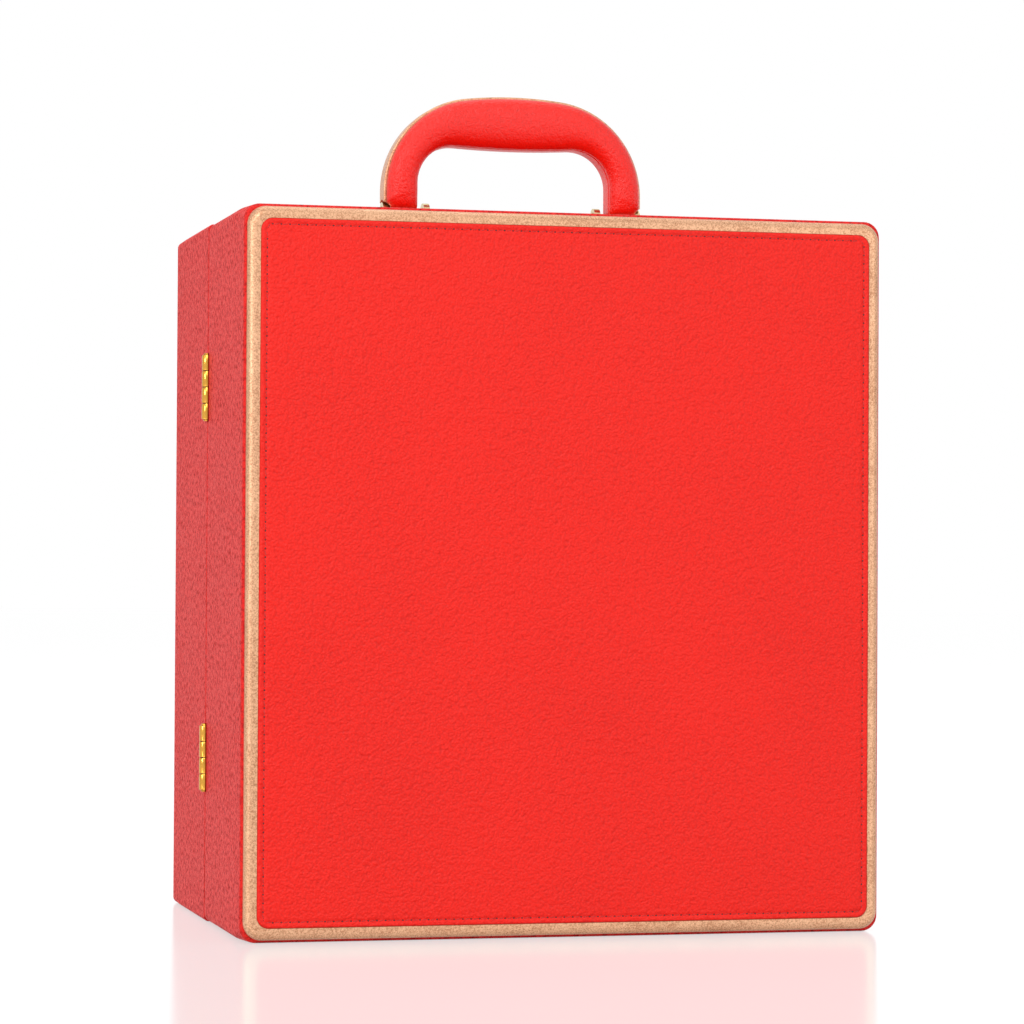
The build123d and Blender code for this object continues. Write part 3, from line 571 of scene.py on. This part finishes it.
def padded_panel(name, node, body, facing):
    """A leather panel over thin foam: soft edge, stitched dip and a gently crowned field."""
    low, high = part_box(node)
    low, high = low / MM, high / MM
    half_width = (high.x - low.x) / 2
    half_height = (high.z - low.z) / 2
    centre_z = (high.z + low.z) / 2
    seat = high.y if facing < 0 else low.y
    thickness = (high.y - low.y) - PANEL_CROWN * 0.5
    mesh = bmesh.new()
    base = stepped_loop(half_width, half_height, PANEL_CORNER, PANEL_POINT_STEP)

    def moved(point, inset):
        """A point of the panel's outline, moved in by a distance."""
        corner = max(PANEL_CORNER - inset, PANEL_LEAST_CORNER)
        x, z = point
        reach_x, reach_z = half_width - PANEL_CORNER, half_height - PANEL_CORNER
        inner_x, inner_z = half_width - inset - corner, half_height - inset - corner
        away = Vector((x - max(-reach_x, min(reach_x, x)), z - max(-reach_z, min(reach_z, z))))
        away = away.normalized() * corner if away.length > 0 else Vector((0, 0))
        core_x = max(-reach_x, min(reach_x, x)) * inner_x / reach_x
        core_z = max(-reach_z, min(reach_z, z)) * inner_z / reach_z
        return core_x + away.x, core_z + away.y

    rings = [[(x, seat, centre_z + z) for x, z in base]]
    for inset in PANEL_ROWS:
        y = seat + facing * panel_height(inset, thickness)
        row = [moved(point, inset) for point in base]
        rings.append([(x, y, centre_z + z) for x, z in row])
    skin_rings(mesh, rings)
    panel = finish_mesh(mesh, name, "red_leather", body)
    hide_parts(node)


def capsule(mesh, centre, along, across, out, length, radius, flat):
    """A short rounded thread lying along a direction."""
    rings = []
    for index in range(THREAD_STEPS + 1):
        share = index / THREAD_STEPS
        position = (share - 0.5) * length
        size = radius * math.sqrt(max(0.0, 1 - (2 * share - 1) ** 4))
        size = max(size, radius * THREAD_TIP)
        ring = []
        for turn in range(THREAD_SIDES):
            angle = 2 * math.pi * turn / THREAD_SIDES
            offset = across * (math.cos(angle) * size) + out * (math.sin(angle) * size * flat)
            ring.append(centre + along * position + offset)
        rings.append(ring)
    skin_rings(mesh, rings)


def panel_stitches(name, node, body, facing):
    """The row of stitches round a panel, each lying in the dip between two needle holes, which are dark
    capsules of painted shade.
    """
    low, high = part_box(node)
    low, high = low / MM, high / MM
    half_width = (high.x - low.x) / 2 - STITCH_INSET
    half_height = (high.z - low.z) / 2 - STITCH_INSET
    centre_z = (high.z + low.z) / 2
    seat = high.y if facing < 0 else low.y
    thickness = (high.y - low.y) - PANEL_CROWN * 0.5
    surface = seat + facing * (panel_height(STITCH_INSET, thickness) + THREAD_LIFT)
    loop = stepped_loop(half_width, half_height, PANEL_CORNER - STITCH_INSET, STITCH_POINT_STEP)
    closed = loop + [loop[0]]
    lengths = [0.0]
    for before, after in zip(closed[:-1], closed[1:]):
        lengths.append(lengths[-1] + math.dist(before, after))
    total = lengths[-1]
    count = round(total / STITCH_PITCH)
    mesh = bmesh.new()
    holes = bmesh.new()
    out = Vector((0, facing, 0))
    slant = math.radians(THREAD_SLANT)
    cursor = 0
    for index in range(count):
        target = total * (index + 0.5) / count
        while lengths[cursor + 1] < target:
            cursor += 1
        before, after = Vector(closed[cursor]), Vector(closed[cursor + 1])
        span = lengths[cursor + 1] - lengths[cursor]
        point = before.lerp(after, (target - lengths[cursor]) / span)
        direction = (after - before).normalized()
        along = Vector((
            direction.x * math.cos(slant) - direction.y * math.sin(slant),
            0,
            direction.x * math.sin(slant) + direction.y * math.cos(slant),
        ))
        across = along.cross(out)
        centre = Vector((point.x, surface, centre_z + point.y))
        length = STITCH_PITCH * THREAD_SHARE
        capsule(mesh, centre, along, across, out, length, THREAD_RADIUS, THREAD_FLATNESS)
        straight = Vector((direction.x, 0, direction.y))
        # Each needle hole is a dark capsule lying on the leather: painted shade
        hole = centre + straight * (STITCH_PITCH / 2) + out * HOLE_LIFT
        sideways = straight.cross(out)
        capsule(holes, hole, straight, sideways, out, HOLE_LENGTH, HOLE_RADIUS, HOLE_FLATNESS)
    stitches = finish_mesh(mesh, name, "thread", body)
    hole_shade_piece = finish_mesh(holes, name + "_hole_shade", "painted_hole_shade", body)


def outer_half():
    """The pad's outer outline from the right foot to the middle of the top."""
    tilt = (PAD_OUTER_HALF_WIDTH - SHOULDER_RADIUS) / (CROWN_RADIUS - SHOULDER_RADIUS)
    turn = math.degrees(math.asin(tilt))
    crown_centre = (0.0, PAD_TOP - CROWN_RADIUS)
    joint = (CROWN_RADIUS * tilt, crown_centre[1] + CROWN_RADIUS * math.cos(math.radians(turn)))
    shoulder_centre = (
        PAD_OUTER_HALF_WIDTH - SHOULDER_RADIUS,
        joint[1] - SHOULDER_RADIUS * math.cos(math.radians(turn)),
    )
    foot_x = SCALLOP_CENTRE[0] - math.sqrt(SCALLOP_RADIUS**2 - (PAD_FOOT - SCALLOP_CENTRE[1]) ** 2)
    top_angle = math.degrees(math.acos((PAD_OUTER_HALF_WIDTH - SCALLOP_CENTRE[0]) / SCALLOP_RADIUS))
    foot_angle = math.degrees(math.acos((foot_x - SCALLOP_CENTRE[0]) / SCALLOP_RADIUS))
    scallop = arc_points(SCALLOP_CENTRE, SCALLOP_RADIUS, foot_angle, top_angle, SCALLOP_STATIONS)
    leg_top = (PAD_OUTER_HALF_WIDTH, shoulder_centre[1])
    leg = line_points(scallop[-1], leg_top, LEG_STATIONS - SCALLOP_STATIONS)
    shoulder = arc_points(shoulder_centre, SHOULDER_RADIUS, 0, 90 - turn, CORNER_STATIONS)
    top = arc_points(crown_centre, CROWN_RADIUS, 90 - turn, 90, TOP_STATIONS)
    return scallop + leg[1:] + shoulder[1:] + top[1:]


def inner_half():
    """The opening's outline from the right foot to the middle of the grip's underside."""
    corner_x = OPENING_HALF_WIDTH - OPENING_CORNER
    belly_centre = (0.0, OPENING_TOP + BELLY_RADIUS)
    reach = BELLY_RADIUS + OPENING_CORNER
    corner_centre = (corner_x, belly_centre[1] - math.sqrt(reach**2 - corner_x**2))
    turn = math.degrees(math.asin(corner_x / reach))
    leg_top = (OPENING_HALF_WIDTH, corner_centre[1])
    leg = line_points((OPENING_HALF_WIDTH, PAD_FOOT), leg_top, LEG_STATIONS)
    corner = arc_points(corner_centre, OPENING_CORNER, 0, 90 + turn, CORNER_STATIONS)
    belly = arc_points(belly_centre, BELLY_RADIUS, -90 + turn, -90, TOP_STATIONS)
    return leg + corner[1:] + belly[1:]


def arch_outlines():
    """The handle's outer and inner outlines, foot to foot, with as many points each."""
    outer = outer_half()
    inner = inner_half()
    outer = outer + [(-x, z) for x, z in reversed(outer[:-1])]
    inner = inner + [(-x, z) for x, z in reversed(inner[:-1])]
    return outer, inner


def handle_pad(name, node, facing, setback):
    """A padded D that follows the handle's arch, tucked in where it meets the core."""
    outer, inner = arch_outlines()
    back = HANDLE_Y + facing * CORE_HALF_DEPTH
    rings = []
    for (outer_x, outer_z), (inner_x, inner_z) in zip(outer, inner):
        rise = min(outer_z, inner_z) - PAD_FOOT
        share = min(1.0, max(0.0, rise / PAD_FOOT_ROUND))
        depth = PAD_DEPTH * (PAD_FOOT_SHARE + (1 - PAD_FOOT_SHARE) * math.sqrt(1 - (1 - share) ** 2))
        span = math.dist((outer_x, outer_z), (inner_x, inner_z))
        ring = []
        for step in range(PAD_STEPS + 1):
            angle = math.pi * step / PAD_STEPS
            side = math.copysign(abs(math.cos(angle)) ** (2 / PAD_SECTION_POWER), math.cos(angle))
            front = math.sin(angle) ** (2 / PAD_SECTION_POWER) if 0 < step < PAD_STEPS else 0.0
            height = PAD_EDGE_HEIGHT + (depth - PAD_EDGE_HEIGHT) * front
            low = max(0.0, 1 - height / PAD_TUCK_DEPTH)
            side = side * (1 - 2 * PAD_TUCK * low**2 / span)
            weight = (1 + side) / 2 * (1 - setback / span) + setback / span
            x = inner_x + (outer_x - inner_x) * weight
            z = inner_z + (outer_z - inner_z) * weight
            ring.append((x, back + facing * height, CASE_TOP + z))
        rings.append(ring)
    mesh = bmesh.new()
    skin_rings(mesh, rings)
    pad = finish_mesh(mesh, name, "pad_leather", "handle")
    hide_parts(node)


def handle_liner():
    """The red leather strip that covers the core's inner edge and turns on to its back."""
    outer, inner = arch_outlines()
    front = HANDLE_Y - CORE_HALF_DEPTH
    back = HANDLE_Y + CORE_HALF_DEPTH
    under = LINER_THICKNESS
    section = (
        (0.35, front - 0.3), (0.05, front + 0.4), (0.0, front + 1.2), (0.0, back - 1.0),
        (0.2, back - 0.1), (0.7, back + 0.45), (LINER_LAP, back + 0.5), (LINER_LAP, back + 0.02),
        (under + 0.3, back + 0.02), (under, back - 0.3), (under, front + 0.1),
    )
    rings = []
    for (outer_x, outer_z), (inner_x, inner_z) in zip(outer, inner):
        away = Vector((outer_x - inner_x, outer_z - inner_z)).normalized()
        rings.append([
            (inner_x + away.x * inset, y, CASE_TOP + inner_z + away.y * inset)
            for inset, y in section
        ])
    mesh = bmesh.new()
    skin_rings(mesh, rings)
    liner = finish_mesh(mesh, "handle_liner", "pad_leather", "handle")


def corner_radius(half, depth):
    """The skin's corner radius at a distance from the seam."""
    share = (depth - CORNER_CHANGE_START) / (HALF_DEPTH - CORNER_CHANGE_START)
    share = min(1.0, max(0.0, share))
    return LONG_EDGE_RADIUS[half] + (FACE_CORNER_RADIUS[half] - LONG_EDGE_RADIUS[half]) * share


def skin_rows():
    """Distance from the seam and inset of each row of the skin, outside first, then back inside."""
    rows = [(HALF_DEPTH, FACE_LAP), (HALF_DEPTH, FACE_LAP / 3)]
    turns = [math.radians(90 * step / ROUND_STEPS) for step in range(ROUND_STEPS + 1)]
    for angle in turns:
        depth = HALF_DEPTH - FACE_ROUND + FACE_ROUND * math.cos(angle)
        rows.append((depth, FACE_ROUND - FACE_ROUND * math.sin(angle)))
    start = HALF_DEPTH - FACE_ROUND
    stop = SEAM_HALF_GAP + SEAM_ROUND
    for step in range(1, SIDE_STEPS):
        rows.append((start + (stop - start) * step / SIDE_STEPS, 0.0))
    for angle in turns:
        depth = stop - SEAM_ROUND * math.sin(angle)
        rows.append((depth, SEAM_ROUND - SEAM_ROUND * math.cos(angle)))
    rows.append((SEAM_HALF_GAP, RIM_MIDDLE))
    rows.append((SEAM_HALF_GAP, WALL))
    rows.append((SEAM_HALF_GAP + SKIN_THICKNESS, WALL))
    rows.append((SEAM_HALF_GAP + SKIN_THICKNESS, SEAM_ROUND + SKIN_THICKNESS))
    rows.append((SEAM_HALF_GAP + SEAM_ROUND + SKIN_THICKNESS, SKIN_THICKNESS))
    rows.append((HALF_DEPTH - FACE_ROUND - SKIN_THICKNESS, SKIN_THICKNESS))
    rows.append((HALF_DEPTH - SKIN_THICKNESS, FACE_ROUND + SKIN_THICKNESS))
    rows.append((HALF_DEPTH - SKIN_THICKNESS, FACE_LAP))
    return rows


def cutter_object(mesh, name):
    """An object from a bmesh that is used only to cut with."""
    data = bpy.data.meshes.new(name)
    mesh.to_mesh(data)
    mesh.free()
    cutter = bpy.data.objects.new(name, data)
    bpy.context.scene.collection.objects.link(cutter)
    return cutter


def window_cutter(name, low, high):
    """A box between two corners, to cut a hinge leaf's window."""
    mesh = bmesh.new()
    bmesh.ops.create_cube(mesh, size=1.0)
    for vertex in mesh.verts:
        for axis in range(3):
            share = vertex.co[axis] + 0.5
            vertex.co[axis] = (low[axis] + (high[axis] - low[axis]) * share) * MM
    return cutter_object(mesh, name)


def notch_cutter(name, centre_z):
    """A round bar, to cut the notch of a hinge's barrel."""
    mesh = bmesh.new()
    half = HINGE_HEIGHT / 2 + PIN_HEAD + NOTCH_PLAY
    ends = (centre_z - half, centre_z + half)
    skin_rings(mesh, [upright_ring(NOTCH_RADIUS, z, NOTCH_SIDES) for z in ends])
    bmesh.ops.recalc_face_normals(mesh, faces=mesh.faces)
    return cutter_object(mesh, name)


def cut_away(piece, cutters):
    """Cuts the cutters out of a piece and removes them."""
    for cutter in cutters:
        cut = piece.modifiers.new(cutter.name, "BOOLEAN")
        cut.operation = "DIFFERENCE"
        cut.solver = "EXACT"
        cut.object = cutter
    view = bpy.context.evaluated_depsgraph_get()
    view.update()
    data = bpy.data.meshes.new_from_object(piece.evaluated_get(view))
    piece.modifiers.clear()
    piece.data = data
    for cutter in cutters:
        bpy.data.objects.remove(cutter)
    data.set_sharp_from_angle(angle=math.radians(SKIN_SHARP))


def half_skin(name, half, facing):
    """The leather over one half: its large face's border, its sides and its rim at the seam."""
    mesh = bmesh.new()
    rings = []
    for depth, inset in skin_rows():
        corner = corner_radius(half, depth) - inset
        if inset >= WALL:
            corner = SHARP_CORNER
        rings.append(ring_loop(
            CASE_WIDTH / 2 - inset, CASE_TOP / 2 - inset, corner, facing * depth, CASE_TOP / 2
        ))
    skin_rings(mesh, rings + [rings[0]], capped=False)
    bmesh.ops.remove_doubles(mesh, verts=mesh.verts, dist=1e-7)
    # The skin takes the darker copy of the red leather, which is painted shade
    skin = finish_mesh(mesh, name, "shaded_wrap_leather", half + "_case")
    cutters = []
    for index, z in enumerate(HINGE_HEIGHTS):
        cutters.append(notch_cutter(f"{name}_notch_{index}", z))
        half_leaf = HINGE_HEIGHT / 2 + WINDOW_PLAY
        y_low, y_high = sorted((facing * WINDOW_DEPTH, -facing * WINDOW_OVERCUT))
        low = (HINGE_X, y_low, z - half_leaf)
        high = (LEAF_END_X + WINDOW_PLAY, y_high, z + half_leaf)
        cutters.append(window_cutter(f"{name}_window_{index}", low, high))
    cut_away(skin, cutters)
    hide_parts(half + "_leather_wrap", half + "_base_leather")


def upright_ring(radius, z, sides):
    """Points round the hinges' axis at a height."""
    angles = [2 * math.pi * step / sides for step in range(sides)]
    return [(HINGE_X + radius * math.cos(angle), radius * math.sin(angle), z) for angle in angles]


def knuckle(mesh, bottom, top):
    """One hinge knuckle with rounded ends and a pin bore."""
    radius = BARREL_RADIUS
    shoulder = radius - KNUCKLE_EASE
    inward, along = KNUCKLE_BEVEL
    outline = [
        (PIN_BORE, bottom), (shoulder, bottom), (radius - inward, bottom + along),
        (radius, bottom + KNUCKLE_EASE), (radius, top - KNUCKLE_EASE),
        (radius - inward, top - along), (shoulder, top), (PIN_BORE, top),
    ]
    rings = [upright_ring(reach, z, KNUCKLE_SIDES) for reach, z in outline]
    skin_rings(mesh, rings + [rings[0]], capped=False)


def upright_bar(mesh, section, facing, bottom, top):
    """An upright bar of a section given from the hinge's axis and the seam."""
    skin_rings(mesh, [
        [(HINGE_X + reach, facing * y, height) for reach, y in section]
        for height in (bottom, top)
    ])


def hinge_leaves(name, half, facing, owned):
    """Both hinge leaves of one half, with the knuckles that they own."""
    mesh = bmesh.new()
    pitch = HINGE_HEIGHT / KNUCKLES
    for z in HINGE_HEIGHTS:
        low = z - HINGE_HEIGHT / 2
        for index in owned:
            bottom = low + index * pitch + KNUCKLE_GAP / 2
            top = bottom + pitch - KNUCKLE_GAP
            knuckle(mesh, bottom, top)
            upright_bar(mesh, WEB_SECTION, facing, bottom, top)
        upright_bar(mesh, LEAF_SECTION, facing, low, z + HINGE_HEIGHT / 2)
    bmesh.ops.remove_doubles(mesh, verts=mesh.verts, dist=1e-7)
    leaves = finish_mesh(mesh, name, "gilt_metal", half + "_case")
    leaves.data.set_sharp_from_angle(angle=math.radians(HINGE_SHARP))
    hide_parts(half + "_hinge_leaves")


def rest_outline(notch_radius, front, inset):
    """A rest seen from above, with its notch, taken in by a distance, for a bay at zero."""
    half = REST_HALF_WIDTH - inset
    back = REST_BACK_Y - inset
    nose = front + inset
    radius = notch_radius + inset
    drop = nose - BOTTLE_AXIS_Y
    if drop >= 0:
        reach = math.sqrt(max(radius**2 - drop**2, 1.0))
        side_angle = math.degrees(math.atan2(drop, reach))
        centre = (0, BOTTLE_AXIS_Y)
        notch = arc_points(centre, radius, side_angle, 180 - side_angle, REST_CUT_STEPS)
    else:
        bottom = arc_points((0, BOTTLE_AXIS_Y), radius, 0, 180, REST_BOTTOM_STEPS)
        notch = [(radius, nose)] + bottom + [(-radius, nose)]
    lip = min(REST_LIP, (half - notch[0][0]) / 2.2)
    points = [(half, back), (half, nose + lip)]
    points += arc_points((half - lip, nose + lip), lip, 0, -90, REST_LIP_STEPS)[1:]
    edge_x = notch[0][0]
    points.append((edge_x + lip * 0.9, nose))
    points.append((edge_x + lip * 0.25, nose + lip * 0.25))
    points += notch[1:-1]
    points.append((-edge_x - lip * 0.25, nose + lip * 0.25))
    points.append((-edge_x - lip * 0.9, nose))
    points += arc_points((-half + lip, nose + lip), lip, -90, -180, REST_LIP_STEPS)[:-1]
    points += [(-half, nose + lip), (-half, back)]
    return points


def bottle_rests(name, node, body, facing, notch_radius, front, centre, height):
    """The padded velvet rests of one row, with eased edges."""
    mesh = bmesh.new()
    steps = [(0.0, REST_EDGE)]
    for step in range(1, REST_EDGE_STEPS + 1):
        angle = math.radians(90 * step / REST_EDGE_STEPS)
        rise = REST_EDGE - REST_EDGE * math.cos(angle)
        steps.append((rise, REST_EDGE - REST_EDGE * math.sin(angle)))
    heights = [(centre - height / 2 + rise, inset) for rise, inset in steps]
    heights += [(centre + height / 2 - rise, inset) for rise, inset in reversed(steps)]
    for bay in BAY_CENTRES:
        rings = []
        for z, inset in heights:
            outline = rest_outline(notch_radius, front, inset)
            rings.append([(bay + x, facing * y, z) for x, y in outline])
        skin_rings(mesh, rings)
    rests = finish_mesh(mesh, name, "velvet", body)
    rests.data.set_sharp_from_angle(angle=math.radians(REST_SHARP))
    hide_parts(node)


def strap_path(wall_x, tip_x, front):
    """The strap's outer face from its wall end round the bend to its tip, as (x, y) points."""
    toward = 1 if tip_x > wall_x else -1
    corner = (wall_x + toward * STRAP_BEND, front + STRAP_BEND)
    wall = line_points((wall_x, STRAP_WALL_END), (wall_x, corner[1]), STRAP_WALL_STEPS)
    angles = [math.radians(90 * step / STRAP_BEND_STEPS) for step in range(1, STRAP_BEND_STEPS + 1)]
    bend = [
        (corner[0] - toward * STRAP_BEND * math.cos(angle), corner[1] - STRAP_BEND * math.sin(angle))
        for angle in angles
    ]
    run = line_points(bend[-1], (tip_x, front), STRAP_RUN_STEPS)
    return wall + bend + run[1:]


def strap_section(width):
    """A strap's section as (depth, height) points, with eased edges, at a half width."""
    ease = STRAP_EASE
    chamfer = STRAP_CHAMFER
    back = STRAP_THICKNESS
    upper = [
        (0.0, width - ease), (chamfer, width - chamfer), (ease, width),
        (back - ease, width), (back - chamfer, width - chamfer), (back, width - ease),
    ]
    return upper + [(depth, -height) for depth, height in reversed(upper)]


def strap(name, node, body, facing, wall_x, tip_x, front):
    """A leather strap with eased edges, a rounded tip and two rows of stitches."""
    path = strap_path(wall_x, tip_x, front)
    half_width = STRAP_WIDTH / 2
    rings = []
    total = sum(math.dist(a, b) for a, b in zip(path[:-1], path[1:]))
    walked = 0.0
    for index, point in enumerate(path):
        before = path[max(index - 1, 0)]
        after = path[min(index + 1, len(path) - 1)]
        along = Vector((after[0] - before[0], after[1] - before[1])).normalized()
        inward = Vector((-along.y, along.x))
        if inward.dot(Vector((-wall_x, REST_BACK_Y)) - Vector(point)) < 0:
            inward = -inward
        walked += math.dist(before, point) if index else 0.0
        left = max(0.0, total - walked)
        width = half_width
        if left < half_width:
            width = math.sqrt(max(0.0, half_width**2 - (half_width - left) ** 2))
            width = max(STRAP_TIP_HALF_WIDTH, width)
        rings.append([
            (
                point[0] + inward.x * depth,
                facing * (point[1] + inward.y * depth),
                STRAP_CENTRE + across,
            )
            for depth, across in strap_section(width)
        ])
    mesh = bmesh.new()
    skin_rings(mesh, rings)
    piece = finish_mesh(mesh, name, "strap_leather", body)
    piece.data.set_sharp_from_angle(angle=math.radians(STRAP_SHARP))
    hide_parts(node)
    strap_stitches(name + "_stitches", body, facing, wall_x, tip_x, front)


def strap_stitches(name, body, facing, wall_x, tip_x, front):
    """The two rows of stitches along a strap's straight run."""
    mesh = bmesh.new()
    toward = 1 if tip_x > wall_x else -1
    start_x = wall_x + toward * STRAP_BEND
    half_width = STRAP_WIDTH / 2
    count = int((abs(tip_x - start_x) - half_width) / STRAP_STITCH_PITCH)
    along, up, out = Vector((1, 0, 0)), Vector((0, 0, 1)), Vector((0, -facing, 0))
    y = facing * (front - THREAD_LIFT)
    for index in range(count):
        x = start_x + toward * STRAP_STITCH_PITCH * (index + 0.5)
        for side in (-1, 1):
            centre = Vector((x, y, STRAP_CENTRE + side * (half_width - STRAP_STITCH_INSET)))
            length, radius = STRAP_STITCH_LENGTH, STRAP_THREAD_RADIUS
            capsule(mesh, centre, along, up, out, length, radius, THREAD_FLATNESS)
    stitches = finish_mesh(mesh, name, "thread", body)


def latch_crosses(name, body, facing):
    """A dark cross of painted shade on the head of each latch screw on one half, where its cross recess
    lies.
    """
    mesh = bmesh.new()
    outward, first = Vector((1, 0, 0)), Vector((0, 0, 1))
    second = outward.cross(first)
    length, radius = CROSS_ARM_LENGTH, CROSS_ARM_RADIUS
    for latch_z in HINGE_HEIGHTS:
        for step in (-LATCH_SCREW_STEP, LATCH_SCREW_STEP):
            head = Vector((LATCH_FACE, facing * LATCH_SCREW_DEPTH, latch_z + step))
            centre = head + outward * HOLE_LIFT
            for along, across in ((first, second), (second, first)):
                capsule(mesh, centre, along, across, outward, length, radius, CROSS_FLATNESS)
    # The cross takes the dark colour of painted shade
    piece = finish_mesh(mesh, name, "painted_hole_shade", body)


def dress_cad_nodes():
    """Gives every CAD node the material of its record slot."""
    slots = {part["node"]: part["material_slot"] for part in frame["record"]["subparts"]}
    for node, piece in frame["nodes"].items():
        material = "pale_gilt" if node in PALE_NODES else slots[node]
        piece.data.materials.clear()
        piece.data.materials.append(materials[material])


def photo_camera():
    """The camera at the photograph's place and angle."""
    level_forward = Vector((math.sin(CAMERA_YAW), math.cos(CAMERA_YAW), 0))
    level_right = Vector((math.cos(CAMERA_YAW), -math.sin(CAMERA_YAW), 0))
    rise = Vector((0, 0, 1))
    forward = level_forward * math.cos(CAMERA_PITCH) + rise * math.sin(CAMERA_PITCH)
    up = rise * math.cos(CAMERA_PITCH) - level_forward * math.sin(CAMERA_PITCH)
    right = level_right * math.cos(CAMERA_ROLL) + up * math.sin(CAMERA_ROLL)
    up = up * math.cos(CAMERA_ROLL) - level_right * math.sin(CAMERA_ROLL)
    data = bpy.data.cameras.new("photo_camera")
    data.lens = CAMERA_LENS
    data.sensor_width = CAMERA_SENSOR
    camera = bpy.data.objects.new("photo_camera", data)
    turned = Matrix((right, up, -forward)).transposed()
    camera.matrix_world = Matrix.Translation(CAMERA_PLACE) @ turned.to_4x4()
    bpy.context.scene.collection.objects.link(camera)
    bpy.context.scene.camera = camera


def area_light(name, place, target, size, power):
    """A soft square lamp that faces a point."""
    data = bpy.data.lights.new(name, "AREA")
    data.shape = "SQUARE"
    data.size = size
    data.energy = power
    lamp = bpy.data.objects.new(name, data)
    direction = Vector(target) - Vector(place)
    lamp.location = place
    lamp.rotation_euler = direction.to_track_quat("-Z", "Y").to_euler()
    bpy.context.scene.collection.objects.link(lamp)


def background_rays(tree):
    """One for rays that may see the white background: camera, glossy and transmission rays."""
    path = tree.nodes.new("ShaderNodeLightPath")
    seen = combine(tree, "MAXIMUM", path.outputs["Is Camera Ray"], path.outputs["Is Glossy Ray"])
    return combine(tree, "MAXIMUM", seen, path.outputs["Is Transmission Ray"])


def studio_world():
    """A white surround that lights the case softly."""
    world = bpy.data.worlds.new("studio")
    bpy.context.scene.world = world
    world.use_nodes = True
    tree = world.node_tree
    background = tree.nodes["Background"]
    background.inputs["Color"].default_value = (1, 1, 1, 1)
    scaled = combine(tree, "MULTIPLY", background_rays(tree), 1.0 - WORLD_LIGHT)
    tree.links.new(combine(tree, "ADD", scaled, WORLD_LIGHT), background.inputs["Strength"])


def studio_floor():
    """A white floor that keeps the case's shadow and a faint reflection."""
    data = bpy.data.meshes.new("floor")
    mesh = bmesh.new()
    bmesh.ops.create_grid(mesh, x_segments=1, y_segments=1, size=FLOOR_REACH)
    mesh.to_mesh(data)
    mesh.free()
    floor = bpy.data.objects.new("floor", data)
    floor.location.z = -FLOOR_DROP
    bpy.context.scene.collection.objects.link(floor)
    material = bpy.data.materials.new("floor")
    material.use_nodes = True
    tree = material.node_tree
    tree.nodes.remove(tree.nodes["Principled BSDF"])
    diffuse = tree.nodes.new("ShaderNodeBsdfDiffuse")
    diffuse.inputs["Color"].default_value = (FLOOR_WHITE, FLOOR_WHITE, FLOOR_WHITE, 1)
    glow = tree.nodes.new("ShaderNodeEmission")
    seen = background_rays(tree)
    tree.links.new(combine(tree, "MULTIPLY", seen, FLOOR_GLOW), glow.inputs["Strength"])
    lit = tree.nodes.new("ShaderNodeAddShader")
    tree.links.new(diffuse.outputs[0], lit.inputs[0])
    tree.links.new(glow.outputs[0], lit.inputs[1])
    glossy = tree.nodes.new("ShaderNodeBsdfGlossy")
    glossy.distribution = "MULTI_GGX"
    glossy.inputs["Roughness"].default_value = FLOOR_MIRROR_ROUGHNESS
    mixed = tree.nodes.new("ShaderNodeMixShader")
    mixed.inputs["Fac"].default_value = FLOOR_MIRROR
    tree.links.new(lit.outputs[0], mixed.inputs[1])
    tree.links.new(glossy.outputs[0], mixed.inputs[2])
    tree.links.new(mixed.outputs[0], tree.nodes["Material Output"].inputs["Surface"])
    floor.data.materials.append(material)


photo_camera()
dress_cad_nodes()
for half, facing in (("front", -1), ("rear", 1)):
    case = half + "_case"
    half_skin(half + "_leather_skin", half, facing)
    padded_panel(half + "_panel_leather", half + "_panel", case, facing)
    panel_stitches(half + "_panel_stitches", half + "_panel", case, facing)
    hinge_leaves(half + "_hinge_pair", half, facing, (0, 2) if facing < 0 else (1, 3))
    bottle_rests(half + "_body_rest_pads", half + "_body_rests", case, facing, **BODY_REST)
    bottle_rests(half + "_neck_rest_pads", half + "_neck_rests", case, facing, **NECK_REST)
    strap(
        half + "_long_strap", half + "_bottle_strap", case, facing,
        -LINED_HALF_WIDTH, STRAP_TIP_X, STRAP_FRONT,
    )
    strap(
        half + "_short_strap", half + "_strap_tab", case, facing,
        LINED_HALF_WIDTH, TAB_TIP_X, TAB_FRONT,
    )
handle_pad("front_handle_pad", "handle_front_pad", -1, 0.0)
handle_pad("rear_handle_pad", "handle_rear_pad", 1, REAR_PAD_SETBACK)
handle_liner()

latch_crosses("front_latch_cross_shade", "front_case", -1)
latch_crosses("rear_latch_cross_shade", "rear_case", 1)

studio_world()
studio_floor()
for lamp_name, (place, target, size, power) in LAMPS.items():
    area_light(lamp_name, place, target, size, power)
bpy.context.scene.view_settings.view_transform = "Standard"
